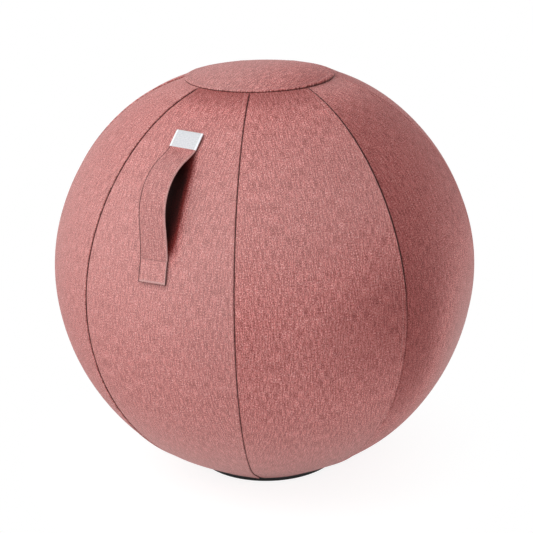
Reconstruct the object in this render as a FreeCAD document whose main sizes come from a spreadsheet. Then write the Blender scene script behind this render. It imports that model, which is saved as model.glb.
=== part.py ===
import FreeCAD, Part
import Sketcher
import math
import os

# Balance ball chair: an air-filled ball in a sewn fabric cover with a weighted
# base, a carrying handle and a zip. Millimetres, +Z up. The origin is the centre
# of the flat base on the floor, and the handle faces -Y.

# Each size has a name, a value and a note. Angles are in degrees.
SIZES = [
    ("ball_radius", 325.0, "outside of the cover: the 650 mm size"),
    ("sit_down", 8.5, "how far the soft ball settles on the floor under its own weight"),
    ("gore_count", 8, "panels round the cover"),
    ("cover_sheet", 1.6, "felted furniture fabric"),
    ("seam_gap", 0.25, "hairline between sewn neighbours"),
    ("fit_gap", 0.3, "clearance between separate curved pieces"),
    ("shoulder_polar", 40.0, "angle from the top where the panels leave the sphere"),
    ("crown_radius", 112.0, "edge of the round top panel"),
    ("crown_drop", 3.1, "how far the crown seam pulls the panels in"),
    ("crown_dome", 440.0, "radius of the flatter dome of the top panel"),
    ("crown_lap", 17.0, "panel ends that reach in under the top panel"),
    ("crown_hem", 0.9, "rounding of the top panel's edge"),
    ("rim_radius", 115.0, "edge of the black base sheet"),
    ("rim_height", 6.0, "how far the base sheet turns up at its edge"),
    ("base_sheet", 1.2, "artificial leather of the base"),
    ("ring_bar", 6.0, "diameter of the steel bar of the ballast ring"),
    ("ring_gap", 0.2, "clearance round the ballast ring in its channel"),
    ("channel_sheet", 0.8, "fabric channel over the ballast ring"),
    ("ball_wall", 1.0, "wall of the air-filled ball"),
    ("zip_top_polar", 60.0, "angle from the top to the upper end of the zip"),
    ("zip_bottom_polar", 141.0, "angle from the top to the lower end of the zip"),
    ("lip_gap", 0.6, "from the slider's side to the panel's edge along the zip"),
    ("tape_sheet", 0.6, "thickness of the zip tape"),
    ("tape_under", 9.5, "tape that is sewn under the panel"),
    ("chain_split", 1.0, "slot between the two coils that the slider's post runs in"),
    ("coil_width", 2.4, "width of one coil"),
    ("coil_height", 1.4, "height of one coil above the tape"),
    ("stop_length", 3.0, "length of an end stop along the zip"),
    ("stop_sheet", 0.5, "how far an end stop stands over the coils"),
    ("zip_tail", 6.0, "bare tape past each end stop"),
    ("slider_length", 11.0, "along the zip"),
    ("slider_plate", 0.7, "plates and flanges of the slider"),
    ("slider_post", 0.5, "post that joins the two plates"),
    ("bail_length", 7.0, "loop on the slider that holds the pull, along the zip"),
    ("bail_width", 1.6, "width of that loop"),
    ("bail_wire", 0.9, "thickness of that loop"),
    ("bail_room", 2.0, "height of the space under that loop"),
    ("pull_bar", 1.2, "diameter of the pull's bar in the loop"),
    ("pull_length", 27.0, "length of the pull below its bar"),
    ("pull_width", 6.4, "width of the pull"),
    ("pull_sheet", 1.0, "thickness of the pull"),
    ("pull_hole", 1.4, "radius of the hole near the pull's end"),
    ("pull_room", 0.9, "clearance past the loop's end as the pull swings"),
    ("valve_bore", 3.0, "radius of the bore in the valve seat"),
    ("valve_neck", 5.0, "radius of the seat's neck in the ball's wall"),
    ("valve_flange", 13.0, "radius of the flange inside the ball"),
    ("flange_sheet", 1.5, "thickness of that flange"),
    ("plug_head", 6.0, "radius of the plug's head"),
    ("plug_head_sheet", 0.8, "thickness of the plug's head"),
    ("plug_length", 9.0, "length of the plug's stem"),
    ("plug_clearance", 0.05, "round the plug's stem"),
    ("strap_width", 44.0, "width of the handle strap"),
    ("strap_sheet", 2.6, "thickness of the folded strap"),
    ("strap_upper_polar", 42.3, "angle from the top to the upper sewn edge"),
    ("strap_lower_polar", 70.75, "angle from the top to the lower sewn edge"),
    ("strap_upper_pad", 28.4, "length of the sewn upper end"),
    ("strap_lower_pad", 32.4, "length of the sewn lower end"),
    ("strap_azimuth", 0.7, "angle from -Y to the middle of the handle"),
    ("strap_tilt", 1.0, "angle that the handle leans from upright"),
    ("loop_slack", 4.43, "how much wider the loop's bow is than half its span"),
    ("loop_stand", 28.0, "how far the loop stands off the ball"),
    ("loop_shift", 6.4, "how far the bow's centre lies above the middle of the handle"),
    ("loop_upper_cut", 10.6, "from the upper sewn edge down to the upper end piece's cut"),
    ("loop_lower_cut", 18.6, "from the lower sewn edge up to the lower end piece's cut"),
    ("label_width", 44.6, "width of the bare label"),
    ("label_sheet", 0.5, "thickness of the label"),
]

doc = FreeCAD.newDocument("BalanceBallChair")
sheet = doc.addObject("Spreadsheet::Sheet", "Sizes")
for row, (alias, value, note) in enumerate(SIZES, start=1):
    sheet.set(f"A{row}", alias)
    sheet.set(f"B{row}", str(value))
    sheet.set(f"C{row}", note)
    sheet.setAlias(f"B{row}", alias)
doc.recompute()


def size(alias):
    return float(sheet.get(alias))


# Formulas that several pieces share. Heights in these are above the ball's centre,
# and CENTRE_HEIGHT is the centre's own height above the floor.
CENTRE_HEIGHT = "(Sizes.ball_radius - Sizes.sit_down)"
COVER_INSIDE = "(Sizes.ball_radius - Sizes.cover_sheet)"
TAPE_OUTSIDE = f"({COVER_INSIDE} - Sizes.fit_gap)"
TAPE_INSIDE = f"({TAPE_OUTSIDE} - Sizes.tape_sheet)"
BALL_OUTSIDE = f"({TAPE_INSIDE} - 2 * Sizes.fit_gap - Sizes.slider_plate)"
EDGE_REACH = "(Sizes.ball_radius - Sizes.crown_drop)"
EDGE_RISE = f"sqrt({EDGE_REACH}^2 - Sizes.crown_radius^2)"
EDGE_ALONG = (f"(Sizes.crown_radius * sin(Sizes.shoulder_polar)"
              f" + {EDGE_RISE} * cos(Sizes.shoulder_polar))")
SHOULDER_SHIFT = (f"((Sizes.ball_radius^2 - {EDGE_REACH}^2)"
                  f" / (2 * (Sizes.ball_radius - {EDGE_ALONG})))")
# The panels' ends lie a hairline under the top panel, on the same dome.
TAIL_RADIUS = "(Sizes.crown_dome - Sizes.cover_sheet - Sizes.seam_gap)"
DOME_CENTRE = f"({EDGE_RISE} - sqrt({TAIL_RADIUS}^2 - Sizes.crown_radius^2))"
COIL_INSIDE = f"({TAPE_OUTSIDE} + Sizes.seam_gap)"
COIL_OUTSIDE = f"({COIL_INSIDE} + Sizes.coil_height)"
COIL_EDGE = "(Sizes.chain_split / 2 + Sizes.coil_width)"
SLIDER_HALF = f"({COIL_EDGE} + Sizes.fit_gap + Sizes.slider_plate)"
SLOT_HALF = f"({SLIDER_HALF} + Sizes.lip_gap)"

# The same values as numbers, for where each outline starts.
ballRadius = size("ball_radius")
centreHeight = ballRadius - size("sit_down")
coverSheet = size("cover_sheet")
tapeOutside = ballRadius - coverSheet - size("fit_gap")
tapeInside = tapeOutside - size("tape_sheet")
airRadius = tapeInside - 2 * size("fit_gap") - size("slider_plate")
crownRadius = size("crown_radius")
edgeReach = ballRadius - size("crown_drop")
edgeRise = math.sqrt(edgeReach ** 2 - crownRadius ** 2)
shoulderPolar = math.radians(size("shoulder_polar"))
edgeAlong = crownRadius * math.sin(shoulderPolar) + edgeRise * math.cos(shoulderPolar)
shoulderShift = (ballRadius ** 2 - edgeReach ** 2) / (2 * (ballRadius - edgeAlong))
shoulderCentre = (shoulderShift * math.sin(shoulderPolar), shoulderShift * math.cos(shoulderPolar))
tailRadius = size("crown_dome") - coverSheet - size("seam_gap")
domeCentre = edgeRise - math.sqrt(tailRadius ** 2 - crownRadius ** 2)
coilInside = tapeOutside + size("seam_gap")
coilOutside = coilInside + size("coil_height")
coilEdge = size("chain_split") / 2 + size("coil_width")
sliderHalf = coilEdge + size("fit_gap") + size("slider_plate")
slotHalf = sliderHalf + size("lip_gap")

goreCount = int(size("gore_count"))
goreAngle = 360.0 / goreCount
# The zip closes the seam next to the middle of the back.
zipSeam = goreCount // 2
zipAzimuth = goreAngle * (zipSeam + 0.5)
START, END, CENTRE = 1, 2, 3
ORIGIN, UPRIGHT = -1, -2
SAME_PLACE = 0.01
SMALLEST_CUT = 1.0
parts = []


def angleOf(length):
    """The formula for the angle at the ball's centre that a length on the cover takes."""
    return f"({length}) / Sizes.ball_radius * 180 / pi"


def degreesAlong(length):
    """The angle at the ball's centre that a length on the cover takes."""
    return math.degrees(length / ballRadius)


def turned(azimuth, polar=90.0, tilt=0.0):
    """A frame at the ball's centre whose X axis points out at an azimuth and polar angle."""
    return FreeCAD.Placement(FreeCAD.Vector(0, 0, centreHeight),
                             FreeCAD.Rotation(azimuth - 90.0, polar - 90.0, tilt))


def keep(piece, label, placement=None):
    """Name a finished piece, put it in its place and list it for export."""
    piece.Label = label
    if placement is not None:
        piece.Placement = placement
    parts.append(piece)
    return piece


def newBody(name):
    return doc.addObject("PartDesign::Body", name)


class Outline:
    """A closed outline on one of a body's own planes, tied to the sheet by formulas."""

    def __init__(self, body, role, name):
        plane = next(f for f in body.Origin.OriginFeatures if f.Role == role)
        self.sketch = body.newObject("Sketcher::SketchObject", name)
        self.sketch.AttachmentSupport = [(plane, "")]
        self.sketch.MapMode = "FlatFace"

    def line(self, start, end):
        ends = FreeCAD.Vector(*start, 0), FreeCAD.Vector(*end, 0)
        return self.sketch.addGeometry(Part.LineSegment(*ends))

    def arc(self, centre, radius, first, last):
        """An arc that turns to the left from the point first to the point last."""
        circle = Part.Circle(FreeCAD.Vector(*centre, 0), FreeCAD.Vector(0, 0, 1), radius)
        angles = [math.atan2(p[1] - centre[1], p[0] - centre[0]) for p in (first, last)]
        return self.sketch.addGeometry(Part.ArcOfCircle(circle, *angles))

    def guideCircle(self, centre, radius):
        circle = Part.Circle(FreeCAD.Vector(*centre, 0), FreeCAD.Vector(0, 0, 1), radius)
        return self.sketch.addGeometry(circle, True)

    def guidePoint(self, point):
        return self.sketch.addGeometry(Part.Point(FreeCAD.Vector(*point, 0)), True)

    def rule(self, *words):
        return self.sketch.addConstraint(Sketcher.Constraint(*words))

    def join(self, curve, end, other, otherEnd):
        self.rule("Coincident", curve, end, other, otherEnd)

    def smooth(self, curve, end, other, otherEnd):
        self.rule("Tangent", curve, end, other, otherEnd)

    def tie(self, index, formula):
        self.sketch.setExpression(f"Constraints[{index}]", formula)

    def across(self, curve, end, formula):
        here = self.sketch.getPoint(curve, end).x
        self.tie(self.rule("DistanceX", ORIGIN, START, curve, end, here), formula)

    def up(self, curve, end, formula):
        here = self.sketch.getPoint(curve, end).y
        self.tie(self.rule("DistanceY", ORIGIN, START, curve, end, here), formula)

    def radius(self, curve, formula):
        here = self.sketch.Geometry[curve].Radius
        self.tie(self.rule("Radius", curve, here), formula)

    def polygon(self, corners, formulas):
        """Straight sides through the corners, each corner held by its two formulas."""
        count = len(corners)
        sides = [self.line(corners[i], corners[(i + 1) % count]) for i in range(count)]
        for i, side in enumerate(sides):
            self.join(side, END, sides[(i + 1) % count], START)
            self.across(side, START, formulas[i][0])
            self.up(side, START, formulas[i][1])
        return sides


def revolve(body, outline, name, angle=360.0, formula=None, middle=False, backwards=False):
    """Turn an outline about the upright axis of its sketch."""
    turn = body.newObject("PartDesign::Revolution", name)
    turn.Profile = outline.sketch
    turn.ReferenceAxis = (outline.sketch, ["V_Axis"])
    turn.Angle = angle
    turn.Midplane = middle
    turn.Reversed = backwards
    if formula:
        turn.setExpression("Angle", formula)
    return turn


def padAcross(body, outline, name, formula):
    """Give an outline its width, half to each side of its plane."""
    pad = body.newObject("PartDesign::Pad", name)
    pad.Profile = outline.sketch
    pad.SideType = "Symmetric"
    pad.setExpression("Length", formula)
    return pad


def circlesMeet(centreA, radiusA, centreB, radiusB):
    """The upper right point where two circles cross."""
    dx, dz = centreB[0] - centreA[0], centreB[1] - centreA[1]
    apart = math.hypot(dx, dz)
    along = (radiusA ** 2 - radiusB ** 2 + apart ** 2) / (2 * apart)
    off = math.sqrt(radiusA ** 2 - along ** 2)
    middle = (centreA[0] + along * dx / apart, centreA[1] + along * dz / apart)
    sides = [(middle[0] + s * off * dz / apart, middle[1] - s * off * dx / apart) for s in (1, -1)]
    return max(sides)


def goreOutline(body):
    """Section of a panel from the floor rim up to its end under the top panel."""
    ball = (0.0, centreHeight)
    shoulder = (shoulderCentre[0], centreHeight + shoulderCentre[1])
    shoulderRadius = ballRadius - shoulderShift
    dome = (0.0, centreHeight + domeCentre)
    rim = (size("rim_radius"), size("rim_height"))
    drop = centreHeight - rim[1]
    lean = math.atan2(rim[0], drop) + math.acos(ballRadius / math.hypot(rim[0], drop))
    tailEnd = crownRadius - size("crown_lap")

    def onBall(radius, angle):
        return radius * math.sin(angle), centreHeight - radius * math.cos(angle)

    def onShoulder(radius):
        return (shoulder[0] + radius * math.sin(shoulderPolar),
                shoulder[1] + radius * math.cos(shoulderPolar))

    def onTail(radius):
        return tailEnd, dome[1] + math.sqrt(radius ** 2 - tailEnd ** 2)

    edge = (crownRadius, centreHeight + edgeRise)
    innerEdge = circlesMeet(dome, tailRadius - coverSheet, shoulder, shoulderRadius - coverSheet)
    leave, innerLeave = onBall(ballRadius, lean), onBall(ballRadius - coverSheet, lean)
    slope = (leave[1] - rim[1]) / (leave[0] - rim[0])
    innerRim = (innerLeave[0] - (innerLeave[1] - rim[1]) / slope, rim[1])

    o = Outline(body, "XZ_Plane", body.Name + "Section")
    tail = o.arc(dome, tailRadius, edge, onTail(tailRadius))
    bend = o.arc(shoulder, shoulderRadius, onShoulder(shoulderRadius), edge)
    side = o.arc(ball, ballRadius, leave, onShoulder(shoulderRadius))
    skirt = o.line(leave, rim)
    foot = o.line(rim, innerRim)
    innerSkirt = o.line(innerRim, innerLeave)
    innerSide = o.arc(ball, ballRadius - coverSheet, innerLeave, onShoulder(shoulderRadius - coverSheet))
    innerBend = o.arc(shoulder, shoulderRadius - coverSheet,
                      onShoulder(shoulderRadius - coverSheet), innerEdge)
    innerTail = o.arc(dome, tailRadius - coverSheet, innerEdge, onTail(tailRadius - coverSheet))
    end = o.line(onTail(tailRadius - coverSheet), onTail(tailRadius))

    o.join(tail, START, bend, END)
    o.smooth(bend, START, side, END)
    o.smooth(side, START, skirt, START)
    o.join(skirt, END, foot, START)
    o.join(foot, END, innerSkirt, START)
    o.smooth(innerSkirt, END, innerSide, START)
    o.smooth(innerSide, END, innerBend, START)
    o.join(innerBend, END, innerTail, START)
    o.join(innerTail, END, end, START)
    o.join(end, END, tail, END)
    o.rule("Horizontal", foot)
    o.rule("Vertical", end)
    o.rule("Parallel", skirt, innerSkirt)
    o.rule("PointOnObject", side, CENTRE, UPRIGHT)
    o.rule("PointOnObject", tail, CENTRE, UPRIGHT)
    o.join(innerSide, CENTRE, side, CENTRE)
    o.join(innerBend, CENTRE, bend, CENTRE)
    o.join(innerTail, CENTRE, tail, CENTRE)
    o.up(side, CENTRE, CENTRE_HEIGHT)
    o.radius(side, "Sizes.ball_radius")
    o.radius(innerSide, COVER_INSIDE)
    o.radius(tail, TAIL_RADIUS)
    o.radius(innerTail, f"{TAIL_RADIUS} - Sizes.cover_sheet")
    o.across(skirt, END, "Sizes.rim_radius")
    o.up(skirt, END, "Sizes.rim_height")
    o.across(side, END, "Sizes.ball_radius * sin(Sizes.shoulder_polar)")
    o.across(tail, START, "Sizes.crown_radius")
    o.up(tail, START, f"{CENTRE_HEIGHT} + {EDGE_RISE}")
    o.across(tail, END, "Sizes.crown_radius - Sizes.crown_lap")
    return o


def cutZipSlot(body, backwards):
    """Cut a panel's edge back along the zip, so that the coils show between the lips."""
    margin = degreesAlong(size("zip_tail") / 2)
    first, last = size("zip_top_polar") + margin, size("zip_bottom_polar") - margin
    inner, outer = ballRadius - 2 * coverSheet, ballRadius + coverSheet

    def at(radius, polar):
        angle = math.radians(polar)
        return radius * math.sin(angle), centreHeight + radius * math.cos(angle)

    o = Outline(body, "XZ_Plane", body.Name + "ZipSlot")
    ball = (0.0, centreHeight)
    outside = o.arc(ball, outer, at(outer, last), at(outer, first))
    inside = o.arc(ball, inner, at(inner, last), at(inner, first))
    top = o.line(at(inner, first), at(outer, first))
    bottom = o.line(at(outer, last), at(inner, last))
    o.join(inside, END, top, START)
    o.join(top, END, outside, END)
    o.join(outside, START, bottom, START)
    o.join(bottom, END, inside, START)
    o.rule("PointOnObject", outside, CENTRE, UPRIGHT)
    o.join(inside, CENTRE, outside, CENTRE)
    o.up(outside, CENTRE, CENTRE_HEIGHT)
    o.radius(outside, "Sizes.ball_radius + Sizes.cover_sheet")
    o.radius(inside, "Sizes.ball_radius - 2 * Sizes.cover_sheet")
    margins = angleOf("Sizes.zip_tail / 2")
    for curve, ray in ((outside, "(Sizes.ball_radius + Sizes.cover_sheet)"),
                       (inside, "(Sizes.ball_radius - 2 * Sizes.cover_sheet)")):
        o.up(curve, END, f"{CENTRE_HEIGHT} + {ray}"
             f" * cos(Sizes.zip_top_polar + {margins})")
        o.up(curve, START, f"{CENTRE_HEIGHT} + {ray}"
             f" * cos(Sizes.zip_bottom_polar - {margins})")
    slot = body.newObject("PartDesign::Pocket", body.Name + "Slot")
    slot.Profile = o.sketch
    slot.Reversed = backwards
    slot.setExpression("Length", f"{SLOT_HALF} - Sizes.seam_gap / 2")
    doc.recompute()
    if slot.Shape.Volume > slot.BaseFeature.Shape.Volume - SMALLEST_CUT:
        raise RuntimeError(f"{body.Name}: the zip slot cuts nothing")


def makeGores():
    gapAngle = degreesAlong(size("seam_gap"))
    for number in range(goreCount):
        name = f"cover_gore_{number + 1}"
        endsAtZip = number == zipSeam
        startsAtZip = number == (zipSeam + 1) % goreCount
        body = newBody(name)
        # A panel is turned away from its own first seam, or back from its last.
        revolve(body, goreOutline(body), name + "Turn", goreAngle - gapAngle,
                f"360 / Sizes.gore_count - {angleOf('Sizes.seam_gap')}",
                backwards=endsAtZip)
        doc.recompute()
        if endsAtZip or startsAtZip:
            cutZipSlot(body, endsAtZip)
        azimuth = goreAngle * (number - 0.5) + gapAngle / 2
        if endsAtZip:
            azimuth = goreAngle * (number + 0.5) - gapAngle / 2
        frame = turned(azimuth)
        frame.Base.z = 0.0
        keep(body, name, frame)


def makeCrown():
    """The round top panel, domed over the panels' ends."""
    body = newBody("crown_panel")
    dome = (0.0, centreHeight + domeCentre)
    outer = size("crown_dome")
    inner = outer - coverSheet

    def onDome(radius, reach):
        return reach, dome[1] + math.sqrt(radius ** 2 - reach ** 2)

    o = Outline(body, "XZ_Plane", "CrownSection")
    top = o.arc(dome, outer, onDome(outer, crownRadius), onDome(outer, 0.0))
    under = o.arc(dome, inner, onDome(inner, crownRadius), onDome(inner, 0.0))
    axis = o.line(onDome(inner, 0.0), onDome(outer, 0.0))
    hem = o.line(onDome(inner, crownRadius), onDome(outer, crownRadius))
    o.join(under, END, axis, START)
    o.join(axis, END, top, END)
    o.join(under, START, hem, START)
    o.join(hem, END, top, START)
    o.join(under, CENTRE, top, CENTRE)
    o.rule("PointOnObject", top, CENTRE, UPRIGHT)
    o.rule("PointOnObject", top, END, UPRIGHT)
    o.rule("PointOnObject", under, END, UPRIGHT)
    o.rule("Vertical", hem)
    o.up(top, CENTRE, f"{CENTRE_HEIGHT} + {DOME_CENTRE}")
    o.radius(top, "Sizes.crown_dome")
    o.radius(under, "Sizes.crown_dome - Sizes.cover_sheet")
    o.across(top, START, "Sizes.crown_radius")
    turn = revolve(body, o, "CrownTurn")
    doc.recompute()
    rounding = body.newObject("PartDesign::Fillet", "CrownHem")
    rims = [(edge.BoundBox.ZMax, i) for i, edge in enumerate(turn.Shape.Edges, start=1)
            if abs(edge.BoundBox.XMax - crownRadius) < SAME_PLACE
            and edge.BoundBox.ZLength < SAME_PLACE]
    rounding.Base = (turn, [f"Edge{max(rims)[1]}"])
    rounding.setExpression("Radius", "Sizes.crown_hem")
    keep(body, "crown_panel")


def makeBase():
    """The black base sheet: flat on the floor, turned up at its edge."""
    body = newBody("base_sheet")
    rim, rise, sheetThickness = size("rim_radius"), size("rim_height"), size("base_sheet")
    flat = rim - rise
    o = Outline(body, "XZ_Plane", "BaseSection")
    floor = o.line((0, 0), (flat, 0))
    turnUp = o.arc((flat, rise), rise, (flat, 0), (rim, rise))
    lip = o.line((rim, rise), (rim - sheetThickness, rise))
    inner = o.arc((flat, rise), rise - sheetThickness, (flat, sheetThickness),
                  (rim - sheetThickness, rise))
    top = o.line((flat, sheetThickness), (0, sheetThickness))
    axis = o.line((0, sheetThickness), (0, 0))
    o.join(floor, START, ORIGIN, START)
    o.rule("Horizontal", floor)
    o.smooth(floor, END, turnUp, START)
    o.join(turnUp, END, lip, START)
    o.rule("Horizontal", lip)
    o.join(lip, END, inner, END)
    o.join(inner, CENTRE, turnUp, CENTRE)
    o.smooth(inner, START, top, START)
    o.rule("Horizontal", top)
    o.join(top, END, axis, START)
    o.join(axis, END, floor, START)
    o.rule("Vertical", axis)
    o.across(turnUp, END, "Sizes.rim_radius")
    o.up(turnUp, END, "Sizes.rim_height")
    o.radius(turnUp, "Sizes.rim_height")
    o.radius(inner, "Sizes.rim_height - Sizes.base_sheet")
    revolve(body, o, "BaseTurn")
    keep(body, "base_sheet")


def makeBallast():
    """The steel ring that keeps the ball upright, in its fabric channel."""
    room = "(Sizes.ring_bar / 2 + Sizes.ring_gap)"
    outside = f"({room} + Sizes.channel_sheet)"
    ringHeight = f"(Sizes.base_sheet + {room})"
    # The channel lies in the corner between the base and the ball's side.
    ringRadius = (f"sqrt(({BALL_OUTSIDE} + {outside} + Sizes.fit_gap)^2"
                  f" - ({CENTRE_HEIGHT} - {ringHeight})^2)")
    ring = doc.addObject("Part::Torus", "ballast_ring")
    ring.setExpression("Radius1", ringRadius)
    ring.setExpression("Radius2", "Sizes.ring_bar / 2")
    ring.setExpression("Placement.Base.z", ringHeight)
    keep(ring, "ballast_ring")

    inner = size("ring_bar") / 2 + size("ring_gap")
    outer = inner + size("channel_sheet")
    foot = size("base_sheet")
    height = foot + inner
    reach = airRadius + outer + size("fit_gap")
    middle = math.sqrt(reach ** 2 - (centreHeight - height) ** 2)
    body = newBody("ring_channel")
    o = Outline(body, "XZ_Plane", "ChannelSection")
    over = o.arc((middle, height), outer, (middle + outer, height), (middle - outer, height))
    under = o.arc((middle, height), inner, (middle + inner, height), (middle - inner, height))
    legs = []
    for side, start, end in ((1, START, START), (-1, END, END)):
        down = o.line((middle + side * outer, height), (middle + side * outer, foot))
        sole = o.line((middle + side * outer, foot), (middle + side * inner, foot))
        back = o.line((middle + side * inner, foot), (middle + side * inner, height))
        o.smooth(over, start, down, START)
        o.join(down, END, sole, START)
        o.join(sole, END, back, START)
        o.smooth(back, END, under, end)
        o.rule("Horizontal", sole)
        o.rule("Vertical", down)
        o.rule("Vertical", back)
        legs.append(sole)
    o.join(under, CENTRE, over, CENTRE)
    o.radius(over, outside)
    o.radius(under, room)
    o.across(over, CENTRE, ringRadius)
    o.up(over, CENTRE, ringHeight)
    for sole in legs:
        o.up(sole, START, "Sizes.base_sheet")
    revolve(body, o, "ChannelTurn")
    keep(body, "ring_channel")


def makeAirBall():
    """The air-filled ball: round, flat where it sits, and pressed flatter under the top panel."""
    body = newBody("air_ball")
    wall = size("ball_wall")
    dome = size("crown_dome")
    shoulder = (shoulderCentre[0], centreHeight + shoulderCentre[1])
    bend = airRadius - shoulderShift
    domeDrop = math.sqrt((dome - bend) ** 2 - shoulder[0] ** 2)
    domeMiddle = (0.0, shoulder[1] - domeDrop)
    lean = math.atan2(shoulder[0], domeDrop)
    floor = size("base_sheet") + size("fit_gap")
    ball = (0.0, centreHeight)
    o = Outline(body, "XZ_Plane", "AirBallSection")
    layers = []
    for inset, height in ((0.0, floor), (wall, floor + wall)):
        radius = airRadius - inset
        top = (0.0, domeMiddle[1] + dome - inset)
        toBend = (domeMiddle[0] + (dome - inset) * math.sin(lean),
                  domeMiddle[1] + (dome - inset) * math.cos(lean))
        toSide = (radius * math.sin(shoulderPolar), centreHeight + radius * math.cos(shoulderPolar))
        seat = (math.sqrt(radius ** 2 - (centreHeight - height) ** 2), height)
        over = o.arc(domeMiddle, dome - inset, toBend, top)
        turn = o.arc(shoulder, bend - inset, toSide, toBend)
        side = o.arc(ball, radius, seat, toSide)
        flat = o.line(seat, (0.0, height))
        o.smooth(turn, END, over, START)
        o.smooth(side, END, turn, START)
        o.join(side, START, flat, START)
        o.rule("Horizontal", flat)
        o.rule("PointOnObject", over, END, UPRIGHT)
        o.rule("PointOnObject", flat, END, UPRIGHT)
        layers.append((over, turn, side, flat, top, height))
    (over, turn, side, flat, top, height), inner = layers
    o.join(inner[0], CENTRE, over, CENTRE)
    o.join(inner[1], CENTRE, turn, CENTRE)
    o.join(inner[2], CENTRE, side, CENTRE)
    o.rule("PointOnObject", over, CENTRE, UPRIGHT)
    o.rule("PointOnObject", side, CENTRE, UPRIGHT)
    o.up(side, CENTRE, CENTRE_HEIGHT)
    o.radius(side, BALL_OUTSIDE)
    o.radius(inner[2], f"{BALL_OUTSIDE} - Sizes.ball_wall")
    o.radius(turn, f"{BALL_OUTSIDE} - {SHOULDER_SHIFT}")
    o.across(side, END, f"{BALL_OUTSIDE} * sin(Sizes.shoulder_polar)")
    o.radius(over, "Sizes.crown_dome")
    o.up(flat, END, "Sizes.base_sheet + Sizes.fit_gap")
    o.up(inner[3], END, "Sizes.base_sheet + Sizes.fit_gap + Sizes.ball_wall")
    crossing = o.line(inner[4], top)
    bottom = o.line((0.0, height), (0.0, inner[5]))
    o.join(crossing, START, inner[0], END)
    o.join(crossing, END, over, END)
    o.join(bottom, START, flat, END)
    o.join(bottom, END, inner[3], END)
    revolve(body, o, "AirBallTurn")
    doc.recompute()

    hole = Outline(body, "XZ_Plane", "ValveHole")
    opening = hole.sketch.addGeometry(Part.Circle(FreeCAD.Vector(0, centreHeight, 0),
                                                  FreeCAD.Vector(0, 0, 1), size("valve_neck")))
    hole.radius(opening, "Sizes.valve_neck + Sizes.fit_gap")
    hole.up(opening, CENTRE, CENTRE_HEIGHT)
    hole.rule("PointOnObject", opening, CENTRE, UPRIGHT)
    cut = body.newObject("PartDesign::Pocket", "ValveCut")
    cut.Profile = hole.sketch
    cut.Type = "ThroughAll"
    doc.recompute()
    if cut.Shape.Volume > cut.BaseFeature.Shape.Volume - SMALLEST_CUT:
        raise RuntimeError("the valve hole cuts nothing")
    keep(body, "air_ball")


def makeValve():
    """The valve at the back: a flanged seat in the ball's wall, and its plug."""
    outward = FreeCAD.Placement(FreeCAD.Vector(0, 0, centreHeight),
                                FreeCAD.Rotation(FreeCAD.Vector(1, 0, 0), -90))
    bore, neck, flange = size("valve_bore"), size("valve_neck"), size("valve_flange")
    flangeTop = airRadius - size("ball_wall") - 2 * size("fit_gap")
    flangeFoot = flangeTop - size("flange_sheet")
    topFormula = f"({BALL_OUTSIDE} - Sizes.ball_wall - 2 * Sizes.fit_gap)"
    footFormula = f"({topFormula} - Sizes.flange_sheet)"
    body = newBody("valve_seat")
    o = Outline(body, "XZ_Plane", "SeatSection")
    o.polygon([(bore, flangeFoot), (flange, flangeFoot), (flange, flangeTop), (neck, flangeTop),
               (neck, airRadius), (bore, airRadius)],
              [("Sizes.valve_bore", footFormula), ("Sizes.valve_flange", footFormula),
               ("Sizes.valve_flange", topFormula), ("Sizes.valve_neck", topFormula),
               ("Sizes.valve_neck", BALL_OUTSIDE), ("Sizes.valve_bore", BALL_OUTSIDE)])
    revolve(body, o, "SeatTurn")
    keep(body, "valve_seat", outward)

    stem = bore - size("plug_clearance")
    tip = airRadius - size("plug_length")
    head = size("plug_head")
    crown = airRadius + size("plug_head_sheet")
    stemFormula = "Sizes.valve_bore - Sizes.plug_clearance"
    tipFormula = f"{BALL_OUTSIDE} - Sizes.plug_length"
    crownFormula = f"{BALL_OUTSIDE} + Sizes.plug_head_sheet"
    body = newBody("valve_plug")
    o = Outline(body, "XZ_Plane", "PlugSection")
    o.polygon([(0, tip), (stem, tip), (stem, airRadius), (head, airRadius), (head, crown), (0, crown)],
              [("0", tipFormula), (stemFormula, tipFormula), (stemFormula, BALL_OUTSIDE),
               ("Sizes.plug_head", BALL_OUTSIDE), ("Sizes.plug_head", crownFormula),
               ("0", crownFormula)])
    revolve(body, o, "PlugTurn")
    keep(body, "valve_plug", outward)


def makePatch(name, radii, formulas, edges, edgeFormulas, polars, spanFormula, flipped=False):
    """A strip that follows the ball along the zip: two round faces between two straight edges."""
    body = newBody(name)
    (inner, outer), (near, far) = radii, edges
    o = Outline(body, "XY_Plane", name + "Section")
    faces = []
    for radius, formula in zip((inner, outer), formulas):
        ends = [(math.sqrt(radius ** 2 - y ** 2), y) for y in (near, far)]
        face = o.arc((0.0, 0.0), radius, *ends)
        o.join(face, CENTRE, ORIGIN, START)
        o.radius(face, formula)
        o.up(face, START, edgeFormulas[0])
        o.up(face, END, edgeFormulas[1])
        faces.append((face, ends))
    (under, underEnds), (over, overEnds) = faces
    for end, index in ((START, 0), (END, 1)):
        edge = o.line(underEnds[index], overEnds[index])
        o.join(edge, START, under, end)
        o.join(edge, END, over, end)
    revolve(body, o, name + "Turn", polars[1] - polars[0], spanFormula, middle=True)
    middle = (polars[0] + polars[1]) / 2
    keep(body, name, turned(zipAzimuth, middle, 180.0 if flipped else 0.0))


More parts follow.
